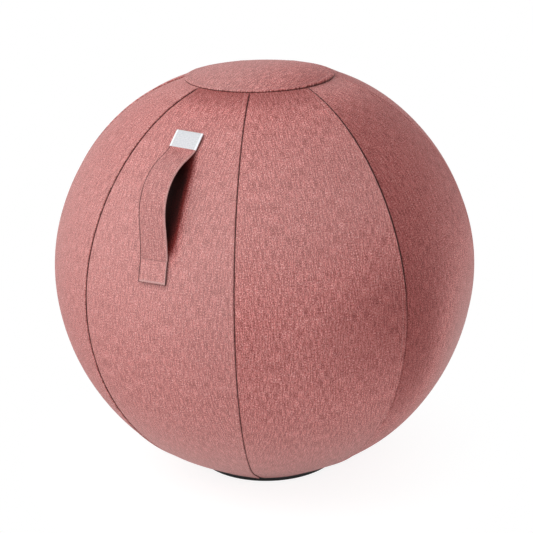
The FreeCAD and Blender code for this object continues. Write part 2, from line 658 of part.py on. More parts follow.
def makeZip():
    """The zip's tapes, coils and end stops, in the seam beside the middle of the back."""
    top, bottom = size("zip_top_polar"), size("zip_bottom_polar")
    tail, stop = size("zip_tail"), size("stop_length")
    split = size("chain_split") / 2
    seamGap = size("seam_gap")
    whole = "Sizes.zip_bottom_polar - Sizes.zip_top_polar"
    coilStart = degreesAlong(tail + stop + seamGap)
    coilSpan = f"{whole} - 2 * {angleOf('Sizes.zip_tail + Sizes.stop_length + Sizes.seam_gap')}"
    for side, flipped in (("left", True), ("right", False)):
        makePatch(f"zip_tape_{side}", (tapeInside, tapeOutside), (TAPE_INSIDE, TAPE_OUTSIDE),
                  (split, slotHalf + size("tape_under")),
                  ("Sizes.chain_split / 2", f"{SLOT_HALF} + Sizes.tape_under"),
                  (top, bottom), whole, flipped)
        makePatch(f"zip_coil_{side}", (coilInside, coilOutside), (COIL_INSIDE, COIL_OUTSIDE),
                  (split, coilEdge), ("Sizes.chain_split / 2", COIL_EDGE),
                  (top + coilStart, bottom - coilStart), coilSpan, flipped)
    stopOutside = coilOutside + size("stop_sheet")
    for end, first in (("top", top + degreesAlong(tail)),
                       ("bottom", bottom - degreesAlong(tail + stop))):
        makePatch(f"zip_{end}_stop", (coilInside, stopOutside),
                  (COIL_INSIDE, f"{COIL_OUTSIDE} + Sizes.stop_sheet"),
                  (-coilEdge, coilEdge), (f"-{COIL_EDGE}", COIL_EDGE),
                  (first, first + degreesAlong(stop)), angleOf("Sizes.stop_length"))


def makeBox(name, corner, lengths):
    """A block from its lowest corner and its three lengths, all formulas."""
    box = doc.addObject("Part::Box", name)
    for axis, place in zip("xyz", corner):
        box.setExpression(f"Placement.Base.{axis}", place)
    for side, length in zip(("Length", "Width", "Height"), lengths):
        box.setExpression(side, length)
    return box


def makeRod(name, turn, radius, length, place):
    """A round rod, turned from upright, with its start placed by formulas."""
    rod = doc.addObject("Part::Cylinder", name)
    rod.Placement = FreeCAD.Placement(FreeCAD.Vector(), turn)
    rod.setExpression("Radius", radius)
    rod.setExpression("Height", length)
    for axis, formula in zip("xyz", place):
        rod.setExpression(f"Placement.Base.{axis}", formula)
    return rod


def fuse(name, pieces):
    joined = doc.addObject("Part::MultiFuse", name)
    joined.Shapes = pieces
    joined.Refine = True
    return joined


PLATE_FOOT = f"({COIL_OUTSIDE} + Sizes.fit_gap)"
PLATE_TOP = f"({PLATE_FOOT} + Sizes.slider_plate)"
PIVOT = f"({PLATE_TOP} + Sizes.bail_room / 2)"


def sliderPolar():
    """Where the closed zip's slider stands, just under the top stop."""
    clear = size("zip_tail") + size("stop_length") + 2 * size("fit_gap") + size("slider_length") / 2
    return size("zip_top_polar") + degreesAlong(clear)


def makeSlider():
    """The zip's slider: two plates joined by a post, flanges round the coils, and the bail."""
    back = "-Sizes.slider_length / 2"
    plate = ("Sizes.slider_plate", f"2 * {SLIDER_HALF}", "Sizes.slider_length")
    lowerFoot = f"({TAPE_INSIDE} - Sizes.fit_gap - Sizes.slider_plate)"
    flangeFoot = f"({TAPE_OUTSIDE} + Sizes.fit_gap)"
    flange = (f"{PLATE_TOP} - {flangeFoot}", "Sizes.slider_plate", "Sizes.slider_length")
    legStart = ("-Sizes.bail_length / 2", "Sizes.bail_length / 2 - Sizes.bail_wire")
    leg = ("Sizes.bail_room + Sizes.bail_wire", "Sizes.bail_width", "Sizes.bail_wire")
    bailSide = "-Sizes.bail_width / 2"
    pieces = [
        makeBox("UpperPlate", (PLATE_FOOT, f"-{SLIDER_HALF}", back), plate),
        makeBox("LowerPlate", (lowerFoot, f"-{SLIDER_HALF}", back), plate),
        makeBox("SliderPost", (lowerFoot, "-Sizes.slider_post / 2", back),
                (f"{PLATE_TOP} - {lowerFoot}", "Sizes.slider_post", "Sizes.slider_length")),
        makeBox("LeftFlange", (flangeFoot, f"-{SLIDER_HALF}", back), flange),
        makeBox("RightFlange", (flangeFoot, f"{SLIDER_HALF} - Sizes.slider_plate", back), flange),
        makeBox("BailLegLow", (PLATE_TOP, bailSide, legStart[0]), leg),
        makeBox("BailLegHigh", (PLATE_TOP, bailSide, legStart[1]), leg),
        makeBox("BailBridge", (f"{PLATE_TOP} + Sizes.bail_room", bailSide, legStart[0]),
                ("Sizes.bail_wire", "Sizes.bail_width", "Sizes.bail_length")),
    ]
    keep(fuse("zip_slider", pieces), "zip_slider", turned(zipAzimuth, sliderPolar()))


def makePull():
    """The pull: a rounded plate, slotted at the top to swing round the bail on its bar."""
    slotHalfWidth = "(Sizes.bail_width / 2 + Sizes.fit_gap)"
    reach = "(Sizes.bail_length / 2 + Sizes.pull_room)"
    eye = "(Sizes.pull_length - Sizes.pull_width / 2)"
    back = f"({PIVOT} - Sizes.pull_sheet / 2)"
    armWidth = f"Sizes.pull_width / 2 - {slotHalfWidth}"
    arm = ("Sizes.pull_sheet", armWidth, f"{reach} + Sizes.pull_bar / 2")
    across = FreeCAD.Rotation(FreeCAD.Vector(1, 0, 0), -90)
    outward = FreeCAD.Rotation(FreeCAD.Vector(0, 1, 0), 90)
    pieces = [
        makeBox("LeftArm", (back, "-Sizes.pull_width / 2", f"-{reach}"), arm),
        makeBox("RightArm", (back, slotHalfWidth, f"-{reach}"), arm),
        makeBox("PullPlate", (back, "-Sizes.pull_width / 2", f"-{eye}"),
                ("Sizes.pull_sheet", "Sizes.pull_width", f"{eye} - {reach}")),
        makeRod("PullBar", across, "Sizes.pull_bar / 2", "Sizes.pull_width",
                (PIVOT, "-Sizes.pull_width / 2", "0")),
        makeRod("PullEnd", outward, "Sizes.pull_width / 2", "Sizes.pull_sheet",
                (back, "0", f"-{eye}")),
    ]
    hole = makeRod("PullHole", outward, "Sizes.pull_hole", "2 * Sizes.pull_sheet",
                   (f"{back} - Sizes.pull_sheet / 2", "0", f"-{eye}"))
    pull = doc.addObject("Part::Cut", "zip_pull")
    pull.Base = fuse("PullWhole", pieces)
    pull.Tool = hole
    keep(pull, "zip_pull", turned(zipAzimuth, sliderPolar()))


class Bow:
    """The loop's side view, in the frame at the middle of the handle: a bow and two tangents."""

    def __init__(self):
        self.half = (size("strap_lower_polar") - size("strap_upper_polar")) / 2
        self.padInside = ballRadius + size("fit_gap")
        self.padOutside = self.padInside + size("strap_sheet")
        self.halfSpan = self.padOutside * math.sin(math.radians(self.half))
        self.radius = self.halfSpan + size("loop_slack")
        self.centre = (ballRadius + size("loop_stand") - self.radius, size("loop_shift"))

    def sewnEdge(self, side):
        """The outer edge where the strap leaves its upper (1) or lower (-1) sewn end."""
        angle = math.radians(self.half)
        return self.padOutside * math.cos(angle), side * self.halfSpan

    def touch(self, side, inset=0.0):
        """Where the run from a sewn edge meets the bow, on the face that lies inset deep."""
        edge = self.sewnEdge(side)
        dx, dz = edge[0] - self.centre[0], edge[1] - self.centre[1]
        turn = math.atan2(dz, dx) - side * math.acos(self.radius / math.hypot(dx, dz))
        radius = self.radius - inset
        return self.centre[0] + radius * math.cos(turn), self.centre[1] + radius * math.sin(turn)

    def atHeight(self, side, height, inset=0.0):
        """The point of that run at a height, on the face that lies inset deep."""
        outer, edge = self.touch(side), self.sewnEdge(side)
        start = self.touch(side, inset)
        slope = (edge[0] - outer[0]) / (edge[1] - outer[1])
        return start[0] + (height - start[1]) * slope, height


HANDLE_HALF = "((Sizes.strap_lower_polar - Sizes.strap_upper_polar) / 2)"
PAD_INSIDE = "(Sizes.ball_radius + Sizes.fit_gap)"
PAD_OUTSIDE = f"({PAD_INSIDE} + Sizes.strap_sheet)"
HALF_SPAN = f"({PAD_OUTSIDE} * sin({HANDLE_HALF}))"
BOW_RADIUS = f"({HALF_SPAN} + Sizes.loop_slack)"
BOW_ACROSS = f"Sizes.ball_radius + Sizes.loop_stand - {BOW_RADIUS}"


def guideBow(o, bow):
    """The bow's two circles as guides, so that the sewn ends point along the loop's runs."""
    outer = o.guideCircle(bow.centre, bow.radius)
    inner = o.guideCircle(bow.centre, bow.radius - size("strap_sheet"))
    o.join(inner, CENTRE, outer, CENTRE)
    o.across(outer, CENTRE, BOW_ACROSS)
    o.up(outer, CENTRE, "Sizes.loop_shift")
    o.radius(outer, BOW_RADIUS)
    o.radius(inner, f"{BOW_RADIUS} - Sizes.strap_sheet")
    return outer, inner


def makeStrapEnd(name, side, padName, cutName, frame):
    """A sewn end of the strap: flat on the ball, then a short run up to the loop."""
    bow = Bow()
    thick = size("strap_sheet")
    pad = math.degrees(size(padName) / ballRadius)
    cut = side * (bow.halfSpan - size(cutName))

    def onPad(radius, angle):
        turn = side * math.radians(angle)
        return radius * math.cos(turn), radius * math.sin(turn)

    # The inner face of the run meets the pad's inner face where its straight line crosses it.
    nearOuter, nearInner = bow.atHeight(side, cut), bow.atHeight(side, cut, thick)
    slope = (bow.sewnEdge(side)[0] - nearOuter[0]) / (bow.sewnEdge(side)[1] - nearOuter[1])
    rise = nearInner[0] - slope * nearInner[1]
    a, b, c = slope ** 2 + 1, 2 * slope * rise, rise ** 2 - bow.padInside ** 2
    height = (-b + side * math.sqrt(b ** 2 - 4 * a * c)) / (2 * a)
    knee = (rise + slope * height, height)
    far, farOuter = onPad(bow.padInside, bow.half + pad), onPad(bow.padOutside, bow.half + pad)

    body = newBody(name)
    o = Outline(body, "XZ_Plane", name + "Section")
    # An arc turns to the left, so the lower end's arcs run the other way.
    ends = (START, END) if side > 0 else (END, START)
    near, off = ends

    def padArc(radius, close, away):
        return o.arc((0.0, 0.0), radius, *((close, away) if side > 0 else (away, close)))

    under = padArc(bow.padInside, knee, far)
    over = padArc(bow.padOutside, bow.sewnEdge(side), farOuter)
    tip = o.line(far, farOuter)
    outerRun = o.line(bow.sewnEdge(side), nearOuter)
    cutFace = o.line(nearOuter, nearInner)
    innerRun = o.line(nearInner, knee)
    outerGuide, innerGuide = guideBow(o, bow)
    o.join(under, CENTRE, ORIGIN, START)
    o.join(over, CENTRE, ORIGIN, START)
    o.join(under, off, tip, START)
    o.join(tip, END, over, off)
    o.join(over, near, outerRun, START)
    o.join(outerRun, END, cutFace, START)
    o.join(cutFace, END, innerRun, START)
    o.join(innerRun, END, under, near)
    o.rule("Horizontal", cutFace)
    o.rule("Parallel", outerRun, innerRun)
    o.rule("Tangent", outerRun, outerGuide)
    o.rule("Tangent", innerRun, innerGuide)
    o.radius(under, PAD_INSIDE)
    o.radius(over, PAD_OUTSIDE)
    sign = "" if side > 0 else "-"
    padEnd = f"{HANDLE_HALF} + {angleOf('Sizes.' + padName)}"
    o.up(cutFace, START, f"{sign}({HALF_SPAN} - Sizes.{cutName})")
    o.up(over, near, f"{sign}{HALF_SPAN}")
    o.up(over, off, f"{sign}{PAD_OUTSIDE} * sin({padEnd})")
    o.up(under, off, f"{sign}{PAD_INSIDE} * sin({padEnd})")
    padAcross(body, o, name + "Width", "Sizes.strap_width")
    keep(body, name, frame)


def makeLoop(frame):
    """The free loop that the hand takes, cut square to the line that it swings about."""
    bow = Bow()
    thick = size("strap_sheet")
    upper = bow.halfSpan - size("loop_upper_cut") - size("fit_gap")
    lower = size("loop_lower_cut") + size("fit_gap") - bow.halfSpan
    body = newBody("handle_loop")
    o = Outline(body, "XZ_Plane", "LoopSection")
    over = o.arc(bow.centre, bow.radius, bow.touch(-1), bow.touch(1))
    under = o.arc(bow.centre, bow.radius - thick, bow.touch(-1, thick), bow.touch(1, thick))
    o.join(under, CENTRE, over, CENTRE)
    o.across(over, CENTRE, BOW_ACROSS)
    o.up(over, CENTRE, "Sizes.loop_shift")
    o.radius(over, BOW_RADIUS)
    o.radius(under, f"{BOW_RADIUS} - Sizes.strap_sheet")
    for side, end, height, sign in ((1, END, upper, ""), (-1, START, lower, "-")):
        cutName = "loop_upper_cut" if side > 0 else "loop_lower_cut"
        outerRun = o.line(bow.touch(side), bow.atHeight(side, height))
        innerRun = o.line(bow.touch(side, thick), bow.atHeight(side, height, thick))
        face = o.line(bow.atHeight(side, height), bow.atHeight(side, height, thick))
        sewnEdge = o.guidePoint(bow.sewnEdge(side))
        o.smooth(over, end, outerRun, START)
        o.smooth(under, end, innerRun, START)
        o.rule("Parallel", outerRun, innerRun)
        o.join(outerRun, END, face, START)
        o.join(innerRun, END, face, END)
        o.rule("Horizontal", face)
        o.across(sewnEdge, START, f"{PAD_OUTSIDE} * cos({HANDLE_HALF})")
        o.up(sewnEdge, START, f"{sign}{HALF_SPAN}")
        o.rule("PointOnObject", sewnEdge, START, outerRun)
        o.up(face, START, f"{sign}({HALF_SPAN} - Sizes.{cutName} - Sizes.fit_gap)")
    padAcross(body, o, "LoopWidth", "Sizes.strap_width")
    keep(body, "handle_loop", frame)


def makeLabel(frame):
    """The bare label, sewn over the strap's upper end."""
    bow = Bow()
    inner = bow.padOutside + size("seam_gap")
    outer = inner + size("label_sheet")
    first, last = bow.half, bow.half + math.degrees(size("strap_upper_pad") / ballRadius)
    lastFormula = f"{HANDLE_HALF} + {angleOf('Sizes.strap_upper_pad')}"
    inside = f"({PAD_OUTSIDE} + Sizes.seam_gap)"

    def at(radius, angle):
        return radius * math.cos(math.radians(angle)), radius * math.sin(math.radians(angle))

    body = newBody("handle_label")
    o = Outline(body, "XZ_Plane", "LabelSection")
    faces = []
    for radius, formula in ((inner, inside), (outer, f"({inside} + Sizes.label_sheet)")):
        face = o.arc((0.0, 0.0), radius, at(radius, first), at(radius, last))
        o.join(face, CENTRE, ORIGIN, START)
        o.radius(face, formula)
        o.up(face, START, f"{formula} * sin({HANDLE_HALF})")
        o.up(face, END, f"{formula} * sin({lastFormula})")
        faces.append(face)
    for end, angle in ((START, first), (END, last)):
        edge = o.line(at(inner, angle), at(outer, angle))
        o.join(edge, START, faces[0], end)
        o.join(edge, END, faces[1], end)
    padAcross(body, o, "LabelWidth", "Sizes.label_width")
    keep(body, "handle_label", frame)


def makeHandle():
    middle = (size("strap_upper_polar") + size("strap_lower_polar")) / 2
    frame = turned(size("strap_azimuth"), middle, size("strap_tilt"))
    makeStrapEnd("handle_upper_end", 1, "strap_upper_pad", "loop_upper_cut", frame)
    makeStrapEnd("handle_lower_end", -1, "strap_lower_pad", "loop_lower_cut", frame)
    makeLoop(frame)
    makeLabel(frame)


def checkAndExport():
    """Stop if anything failed; then write one file for each piece."""
    doc.recompute()
    for thing in doc.Objects:
        if "Invalid" in thing.State or "Error" in thing.State:
            raise RuntimeError(f"{thing.Name} failed: {thing.State}")
    for piece in parts:
        if piece.Shape.isNull() or not piece.Shape.isValid():
            raise RuntimeError(f"{piece.Label} has no valid shape")
    os.makedirs("parts", exist_ok=True)
    for piece in parts:
        piece.Shape.exportStep(f"parts/{piece.Label}.step")
        print(f"{piece.Label}: {piece.Shape.Volume / 1000:.2f} cm3")


makeGores()
makeCrown()
makeBase()
makeBallast()
makeAirBall()
makeValve()
makeZip()
makeSlider()
makePull()
makeHandle()
checkAndExport()
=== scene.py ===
import bpy
import bmesh
import math
from mathutils import Vector, Matrix, noise


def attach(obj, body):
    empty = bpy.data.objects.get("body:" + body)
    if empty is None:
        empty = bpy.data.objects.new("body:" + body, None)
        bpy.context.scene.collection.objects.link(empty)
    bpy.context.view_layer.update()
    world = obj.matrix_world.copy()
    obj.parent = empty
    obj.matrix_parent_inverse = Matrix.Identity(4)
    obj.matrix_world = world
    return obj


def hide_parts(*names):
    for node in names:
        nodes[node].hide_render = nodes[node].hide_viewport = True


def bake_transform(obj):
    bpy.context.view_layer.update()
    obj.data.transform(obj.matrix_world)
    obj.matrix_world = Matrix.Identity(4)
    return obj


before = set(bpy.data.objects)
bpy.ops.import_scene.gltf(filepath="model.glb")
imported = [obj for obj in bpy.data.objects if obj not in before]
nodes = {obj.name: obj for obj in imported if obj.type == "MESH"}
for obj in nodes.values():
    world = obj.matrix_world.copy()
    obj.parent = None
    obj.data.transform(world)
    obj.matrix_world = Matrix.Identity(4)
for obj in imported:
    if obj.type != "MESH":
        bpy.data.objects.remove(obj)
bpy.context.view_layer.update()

# metres, +Z up, the same frame as the CAD; azimuth runs from -Y towards +X
ball = {
    "radius": 0.325, "sitDown": 0.0085, "panels": 8,
    "rimRadius": 0.115, "rimHeight": 0.006, "rimShows": 0.0012,
    "shoulder": math.radians(40), "crownRadius": 0.112, "crownDrop": 0.0031, "dome": 0.440,
    "crownLap": 0.017, "felt": 0.0016, "underCrown": 0.00025,
}
centre = ball["radius"] - ball["sitDown"]


def linearColour(hexCode):
    parts = [int(hexCode[i:i + 2], 16) / 255 for i in (1, 3, 5)]
    return [c / 12.92 if c <= 0.04045 else ((c + 0.055) / 1.055) ** 2.4 for c in parts] + [1.0]


def mm(length):
    return length / 1000


def newMaterial(name):
    material = bpy.data.materials.new(name)
    material.use_nodes = True
    material.node_tree.nodes.clear()
    return material


def addNode(owner, kind, settings=None, values=None, links=None):
    # owner is a node tree, or a material or world that has one; settings are properties,
    # values go on sockets, links are (socket, from node, from socket)
    tree = getattr(owner, "node_tree", owner)
    node = tree.nodes.new(kind)
    for key, value in (settings or {}).items():
        setattr(node, key, value)
    for key, value in (values or {}).items():
        node.inputs[key].default_value = value
    for socket, source, output in (links or []):
        tree.links.new(source.outputs[output], node.inputs[socket])
    return node


def addRamp(material, source, output, stops, smooth=True):
    ramp = addNode(material, "ShaderNodeValToRGB", links=[("Fac", source, output)])
    ramp.color_ramp.interpolation = "EASE" if smooth else "LINEAR"
    while len(ramp.color_ramp.elements) < len(stops):
        ramp.color_ramp.elements.new(0.5)
    for element, (place, colour) in zip(ramp.color_ramp.elements, stops):
        element.position = place
        element.color = linearColour(colour) if isinstance(colour, str) else [colour] * 3 + [1.0]
    return ramp


def addMix(material, blend, factor, a, b):
    # a and b are (node, socket) or a colour; factor is a number or (node, socket)
    node = addNode(material, "ShaderNodeMix", {"data_type": "RGBA", "blend_type": blend})
    for place, item in ((0, factor), (6, a), (7, b)):
        if isinstance(item, tuple):
            material.node_tree.links.new(item[0].outputs[item[1]], node.inputs[place])
        else:
            node.inputs[place].default_value = item
    return node


def finishMaterial(material, colour, height, look, bump, strength):
    normal = addNode(material, "ShaderNodeBump", values={"Distance": bump, "Strength": strength},
                     links=[("Height", height[0], height[1])])
    shader = addNode(material, "ShaderNodeBsdfPrincipled", values=look,
                     links=[("Base Color", colour[0], colour[1]), ("Normal", normal, "Normal")])
    addNode(material, "ShaderNodeOutputMaterial", links=[("Surface", shader, "BSDF")])
    return shader


feltLook = {
    "dark": "#7b3230", "body": "#ba6b69", "pale": "#ecb5b0", "crease": "#140706",
    "paintedShadeTint": "#a96361",    # painted shade tint, where the surface is drawn darker
    "under": "#40120f",    # painted shade tint where no light gets in
    "fuzz": "#c6a19e",     # painted sheen tint, where the surface is drawn as lit
    # mm; real fibres are too fine for the picture, so the clumps are drawn coarser
    "fleck": 0.96, "fibre": 0.68,
    "grain": 2.2,          # how much longer a fleck is along the panel than across
    "streakWide": 1.5, "streakLong": 16.0,    # mm, soft streaks of the yarn
    "cloud": 60.0,         # mm, uneven dye
    "bump": 0.25, "sheen": 0.07,
}


def makeFelt(name, look):
    # melange wool-look furniture felt, needled and pressed: matt, with a painted pale sheen where
    # it is drawn as lit, dyed and undyed fibres mixed so that it is flecked light and dark, the
    # flecks lying up and down
    material = newMaterial(name)
    uv = addNode(material, "ShaderNodeUVMap", {"uv_map": "cloth"})
    grained = addNode(material, "ShaderNodeMapping", values={"Scale": (1, 1 / look["grain"], 1)},
                      links=[("Vector", uv, "UV")])
    fleck = addNode(material, "ShaderNodeTexNoise",
                    values={"Scale": 1000 / look["fleck"], "Detail": 2.0, "Roughness": 0.7},
                    links=[("Vector", grained, "Vector")])
    fibre = addNode(material, "ShaderNodeTexNoise",
                    values={"Scale": 1000 / look["fibre"], "Detail": 2.0, "Roughness": 0.7},
                    links=[("Vector", grained, "Vector")])
    drawn = addNode(material, "ShaderNodeMapping",
                    values={"Scale": (1, look["streakWide"] / look["streakLong"], 1)},
                    links=[("Vector", uv, "UV")])
    streak = addNode(material, "ShaderNodeTexNoise",
                     values={"Scale": 1000 / look["streakWide"], "Detail": 1.0},
                     links=[("Vector", drawn, "Vector")])
    cloud = addNode(material, "ShaderNodeTexNoise",
                    values={"Scale": 1000 / look["cloud"], "Detail": 2.0},
                    links=[("Vector", uv, "UV")])
    tones = addRamp(material, fleck, "Fac",
                    [(0.34, look["dark"]), (0.49, look["body"]), (0.68, look["pale"])], False)
    fine = addRamp(material, fibre, "Fac", [(0.32, 0.18), (0.69, 0.84)], False)
    threads = addMix(material, "OVERLAY", 0.7, (tones, "Color"), (fine, "Color"))
    long = addRamp(material, streak, "Fac", [(0.35, 0.28), (0.65, 0.72)])
    streaked = addMix(material, "OVERLAY", 0.75, (threads, 2), (long, "Color"))
    dyed = addRamp(material, cloud, "Fac", [(0.3, 0.47), (0.7, 0.53)])
    cloudy = addMix(material, "OVERLAY", 0.6, (streaked, 2), (dyed, "Color"))
    # painted light: above a half the colour is mixed towards a painted sheen tint, under a half it
    # is multiplied by a painted shade tint
    nap = addNode(material, "ShaderNodeAttribute", {"attribute_name": "nap"})
    paintedShadeTint = addRamp(material, nap, "Fac",
                    [(0.0, look["under"]), (0.3, look["paintedShadeTint"]), (0.5, 1.0)], False)
    shaded = addMix(material, "MULTIPLY", 1.0, (cloudy, 2), (paintedShadeTint, "Color"))
    paintedSheenShare = addRamp(material, nap, "Fac", [(0.5, 0.0), (1.0, 1.0)], False)
    withPaintedSheen = addMix(material, "MIX", (paintedSheenShare, "Color"), (shaded, 2), linearColour(look["fuzz"]))
    # painted shade: darker down in the seams, in grooves and along edges where shadow falls
    crease = addNode(material, "ShaderNodeAttribute", {"attribute_name": "crease"})
    colour = addMix(material, "MIX", (crease, "Fac"), (withPaintedSheen, 2), linearColour(look["crease"]))
    height = addNode(material, "ShaderNodeMath", {"operation": "ADD"},
                     links=[(0, fleck, "Fac"), (1, fibre, "Fac")])
    finishMaterial(material, (colour, 2), (height, "Value"),
                   {"Roughness": 0.65, "Specular IOR Level": 0.2, "Sheen Weight": look["sheen"],
                    "Sheen Roughness": 0.4, "Sheen Tint": linearColour("#f6e6e4")},
                   mm(0.4), look["bump"])
    return material


def makeThread(name, hexCode):
    # spun polyester sewing thread, twisted: a soft gloss and fine diagonal plies
    material = newMaterial(name)
    place = addNode(material, "ShaderNodeTexCoord")
    plies = addNode(material, "ShaderNodeTexNoise", values={"Scale": 2600.0, "Detail": 1.0},
                    links=[("Vector", place, "Object")])
    tones = addRamp(material, plies, "Fac", [(0.3, hexCode), (0.75, "#d9a6a2")])
    finishMaterial(material, (tones, "Color"), (plies, "Fac"),
                   {"Roughness": 0.55, "Specular IOR Level": 0.4, "Sheen Weight": 0.2},
                   mm(0.1), 0.4)
    return material


satinLook = {"ground": "#d6d8dc", "shade": "#c6c9cf", "border": "#f6f9ff", "thread": 0.45}


def makeSatin(name, look):
    # woven satin label of polyester yarn: smooth floats that shine a little along the weft
    material = newMaterial(name)
    uv = addNode(material, "ShaderNodeUVMap", {"uv_map": "cloth"})
    weft = addNode(material, "ShaderNodeTexWave",
                   {"wave_type": "BANDS", "bands_direction": "Y", "wave_profile": "SIN"},
                   {"Scale": 1000 / look["thread"] / 20, "Distortion": 0.6, "Detail": 1.0},
                   [("Vector", uv, "UV")])
    slub = addNode(material, "ShaderNodeTexNoise", values={"Scale": 420.0, "Detail": 3.0},
                   links=[("Vector", uv, "UV")])
    tones = addRamp(material, slub, "Fac", [(0.3, look["shade"]), (0.7, look["ground"])])
    lines = addRamp(material, weft, "Fac", [(0.0, 0.46), (1.0, 0.54)])
    woven = addMix(material, "OVERLAY", 0.6, (tones, "Color"), (lines, "Color"))
    edge = addNode(material, "ShaderNodeAttribute", {"attribute_name": "crease"})
    colour = addMix(material, "MIX", (edge, "Fac"), (woven, 2), linearColour(look["border"]))
    finishMaterial(material, (colour, 2), (weft, "Fac"),
                   {"Roughness": 0.45, "Specular IOR Level": 0.5, "Sheen Weight": 0.15},
                   mm(0.08), 0.5)
    return material


def makeLeather(name, hexCode):
    # black PU-coated artificial leather, embossed: fine closed grain with a dull shine
    material = newMaterial(name)
    place = addNode(material, "ShaderNodeTexCoord")
    grain = addNode(material, "ShaderNodeTexVoronoi", {"feature": "DISTANCE_TO_EDGE"},
                    {"Scale": 1000 / 1.3}, [("Vector", place, "Object")])
    wear = addNode(material, "ShaderNodeTexNoise", values={"Scale": 30.0, "Detail": 4.0},
                   links=[("Vector", place, "Object")])
    tones = addRamp(material, wear, "Fac", [(0.35, hexCode), (0.8, "#161618")])
    ridge = addRamp(material, grain, "Distance", [(0.0, 0.0), (0.25, 1.0)])
    finishMaterial(material, (tones, "Color"), (ridge, "Color"),
                   {"Roughness": 0.6, "Specular IOR Level": 0.22}, mm(0.25), 0.5)
    return material


def makeWeave(name, hexCode, paler, pitch):
    # narrow-woven polyester tape: a herringbone of thick yarns
    material = newMaterial(name)
    place = addNode(material, "ShaderNodeTexCoord")
    yarn = addNode(material, "ShaderNodeTexNoise", values={"Scale": 1000 / pitch, "Detail": 2.0},
                   links=[("Vector", place, "Object")])
    tones = addRamp(material, yarn, "Fac", [(0.35, hexCode), (0.65, paler)])
    finishMaterial(material, (tones, "Color"), (yarn, "Fac"),
                   {"Roughness": 0.8, "Specular IOR Level": 0.3, "Sheen Weight": 0.2},
                   mm(0.3), 0.6)
    return material


def makeMoulded(name, hexCode, paler, roughness, speckle=300.0, metal=0.0):
    # moulded or cast and finished in one piece: an even skin with faint handling marks
    material = newMaterial(name)
    place = addNode(material, "ShaderNodeTexCoord")
    skin = addNode(material, "ShaderNodeTexNoise", values={"Scale": speckle, "Detail": 4.0},
                   links=[("Vector", place, "Object")])
    tones = addRamp(material, skin, "Fac", [(0.3, hexCode), (0.75, paler)])
    finishMaterial(material, (tones, "Color"), (skin, "Fac"),
                   {"Roughness": roughness, "Metallic": metal}, mm(0.05), 0.3)
    return material


feltMaterial = makeFelt("melangeFelt", feltLook)
threadMaterial = makeThread("polyesterThread", "#c48d89")
satinMaterial = makeSatin("wovenSatinLabel", satinLook)
leatherMaterial = makeLeather("embossedArtificialLeather", "#050506")
tapeMaterial = makeWeave("wovenZipTape", "#5a3233", "#7a4747", 0.7)
channelMaterial = makeWeave("wovenChannelTape", "#101012", "#2a2a2d", 0.9)
coilMaterial = makeMoulded("drawnNylonCoil", "#54302f", "#6b4040", 0.35, 900.0)
vinylMaterial = makeMoulded("blownSoftVinyl", "#7d8085", "#8c9095", 0.42, 24.0)
valveMaterial = makeMoulded("mouldedValvePlastic", "#e4e3de", "#f0efeb", 0.4)
steelMaterial = makeMoulded("drawnSteelBar", "#8f9296", "#a3a6aa", 0.32, 260.0, 1.0)
zincMaterial = makeMoulded("lacqueredZincCasting", "#3a2626", "#4c3333", 0.3, 500.0, 0.6)
print("materials made")


def sideLine(step):
    # points up the outside of a panel: (reach from the axis, height, outward x, outward z, length)
    radius, rimR, rimZ = ball["radius"], ball["rimRadius"], ball["rimHeight"]
    drop = centre - rimZ
    lean = math.atan2(rimR, drop) + math.acos(radius / math.hypot(rimR, drop))
    leave = (radius * math.sin(lean), centre - radius * math.cos(lean))
    edgeReach = radius - ball["crownDrop"]
    edgeRise = math.sqrt(edgeReach ** 2 - ball["crownRadius"] ** 2)
    sine, cosine = math.sin(ball["shoulder"]), math.cos(ball["shoulder"])
    toEdge = ball["crownRadius"] * sine + edgeRise * cosine
    shift = (radius ** 2 - edgeReach ** 2) / (2 * (radius - toEdge))
    bend = (shift * sine, centre + shift * cosine)
    bendRadius = radius - shift
    edge = (ball["crownRadius"], centre + edgeRise)
    tail = ball["dome"] - ball["felt"] - ball["underCrown"]
    domeZ = centre + edgeRise - math.sqrt(tail ** 2 - ball["crownRadius"] ** 2)
    line = []

    def addRun(count, place):
        for i in range(count):
            line.append(place(i / count))

    skirt = math.hypot(leave[0] - rimR, leave[1] - rimZ)
    slope = ((leave[0] - rimR) / skirt, (leave[1] - rimZ) / skirt)
    begin = (rimR + ball["rimShows"] * slope[0], rimZ + ball["rimShows"] * slope[1])
    addRun(max(2, round(skirt / step)), lambda t: (
        begin[0] + t * (leave[0] - begin[0]), begin[1] + t * (leave[1] - begin[1]),
        slope[1], -slope[0]))
    first, last = lean, math.pi - ball["shoulder"]

    def onArc(middle, size, angle):
        return (middle[0] + size * math.cos(angle), middle[1] + size * math.sin(angle),
                math.cos(angle), math.sin(angle))

    addRun(round(radius * (last - first) / step), lambda t: onArc(
        (0, centre), radius, first + t * (last - first) - math.pi / 2))
    start = math.pi / 2 - ball["shoulder"]
    finish = math.atan2(edge[1] - bend[1], edge[0] - bend[0])
    addRun(round(bendRadius * (finish - start) / step), lambda t: onArc(
        bend, bendRadius, start + t * (finish - start)))
    inner = ball["crownRadius"] - ball["crownLap"]
    addRun(4, lambda t: (
        edge[0] + t * (inner - edge[0]),
        domeZ + math.sqrt(tail ** 2 - (edge[0] + t * (inner - edge[0])) ** 2),
        (edge[0] + t * (inner - edge[0])) / tail,
        math.sqrt(1 - ((edge[0] + t * (inner - edge[0])) / tail) ** 2)))
    length, run = 0.0, []
    for i, point in enumerate(line):
        if i:
            length += math.hypot(point[0] - line[i - 1][0], point[1] - line[i - 1][1])
        run.append(point + (length,))
    return run, domeZ, edge


coverLine, domeHeight, crownEdge = sideLine(mm(3.2))
coverLength = coverLine[-1][4]
crownStart = next(p[4] for p in coverLine if p[1] > centre and p[0] <= ball["crownRadius"] + 1e-6)


def around(azimuth):
    return Vector((math.sin(azimuth), -math.cos(azimuth), 0))


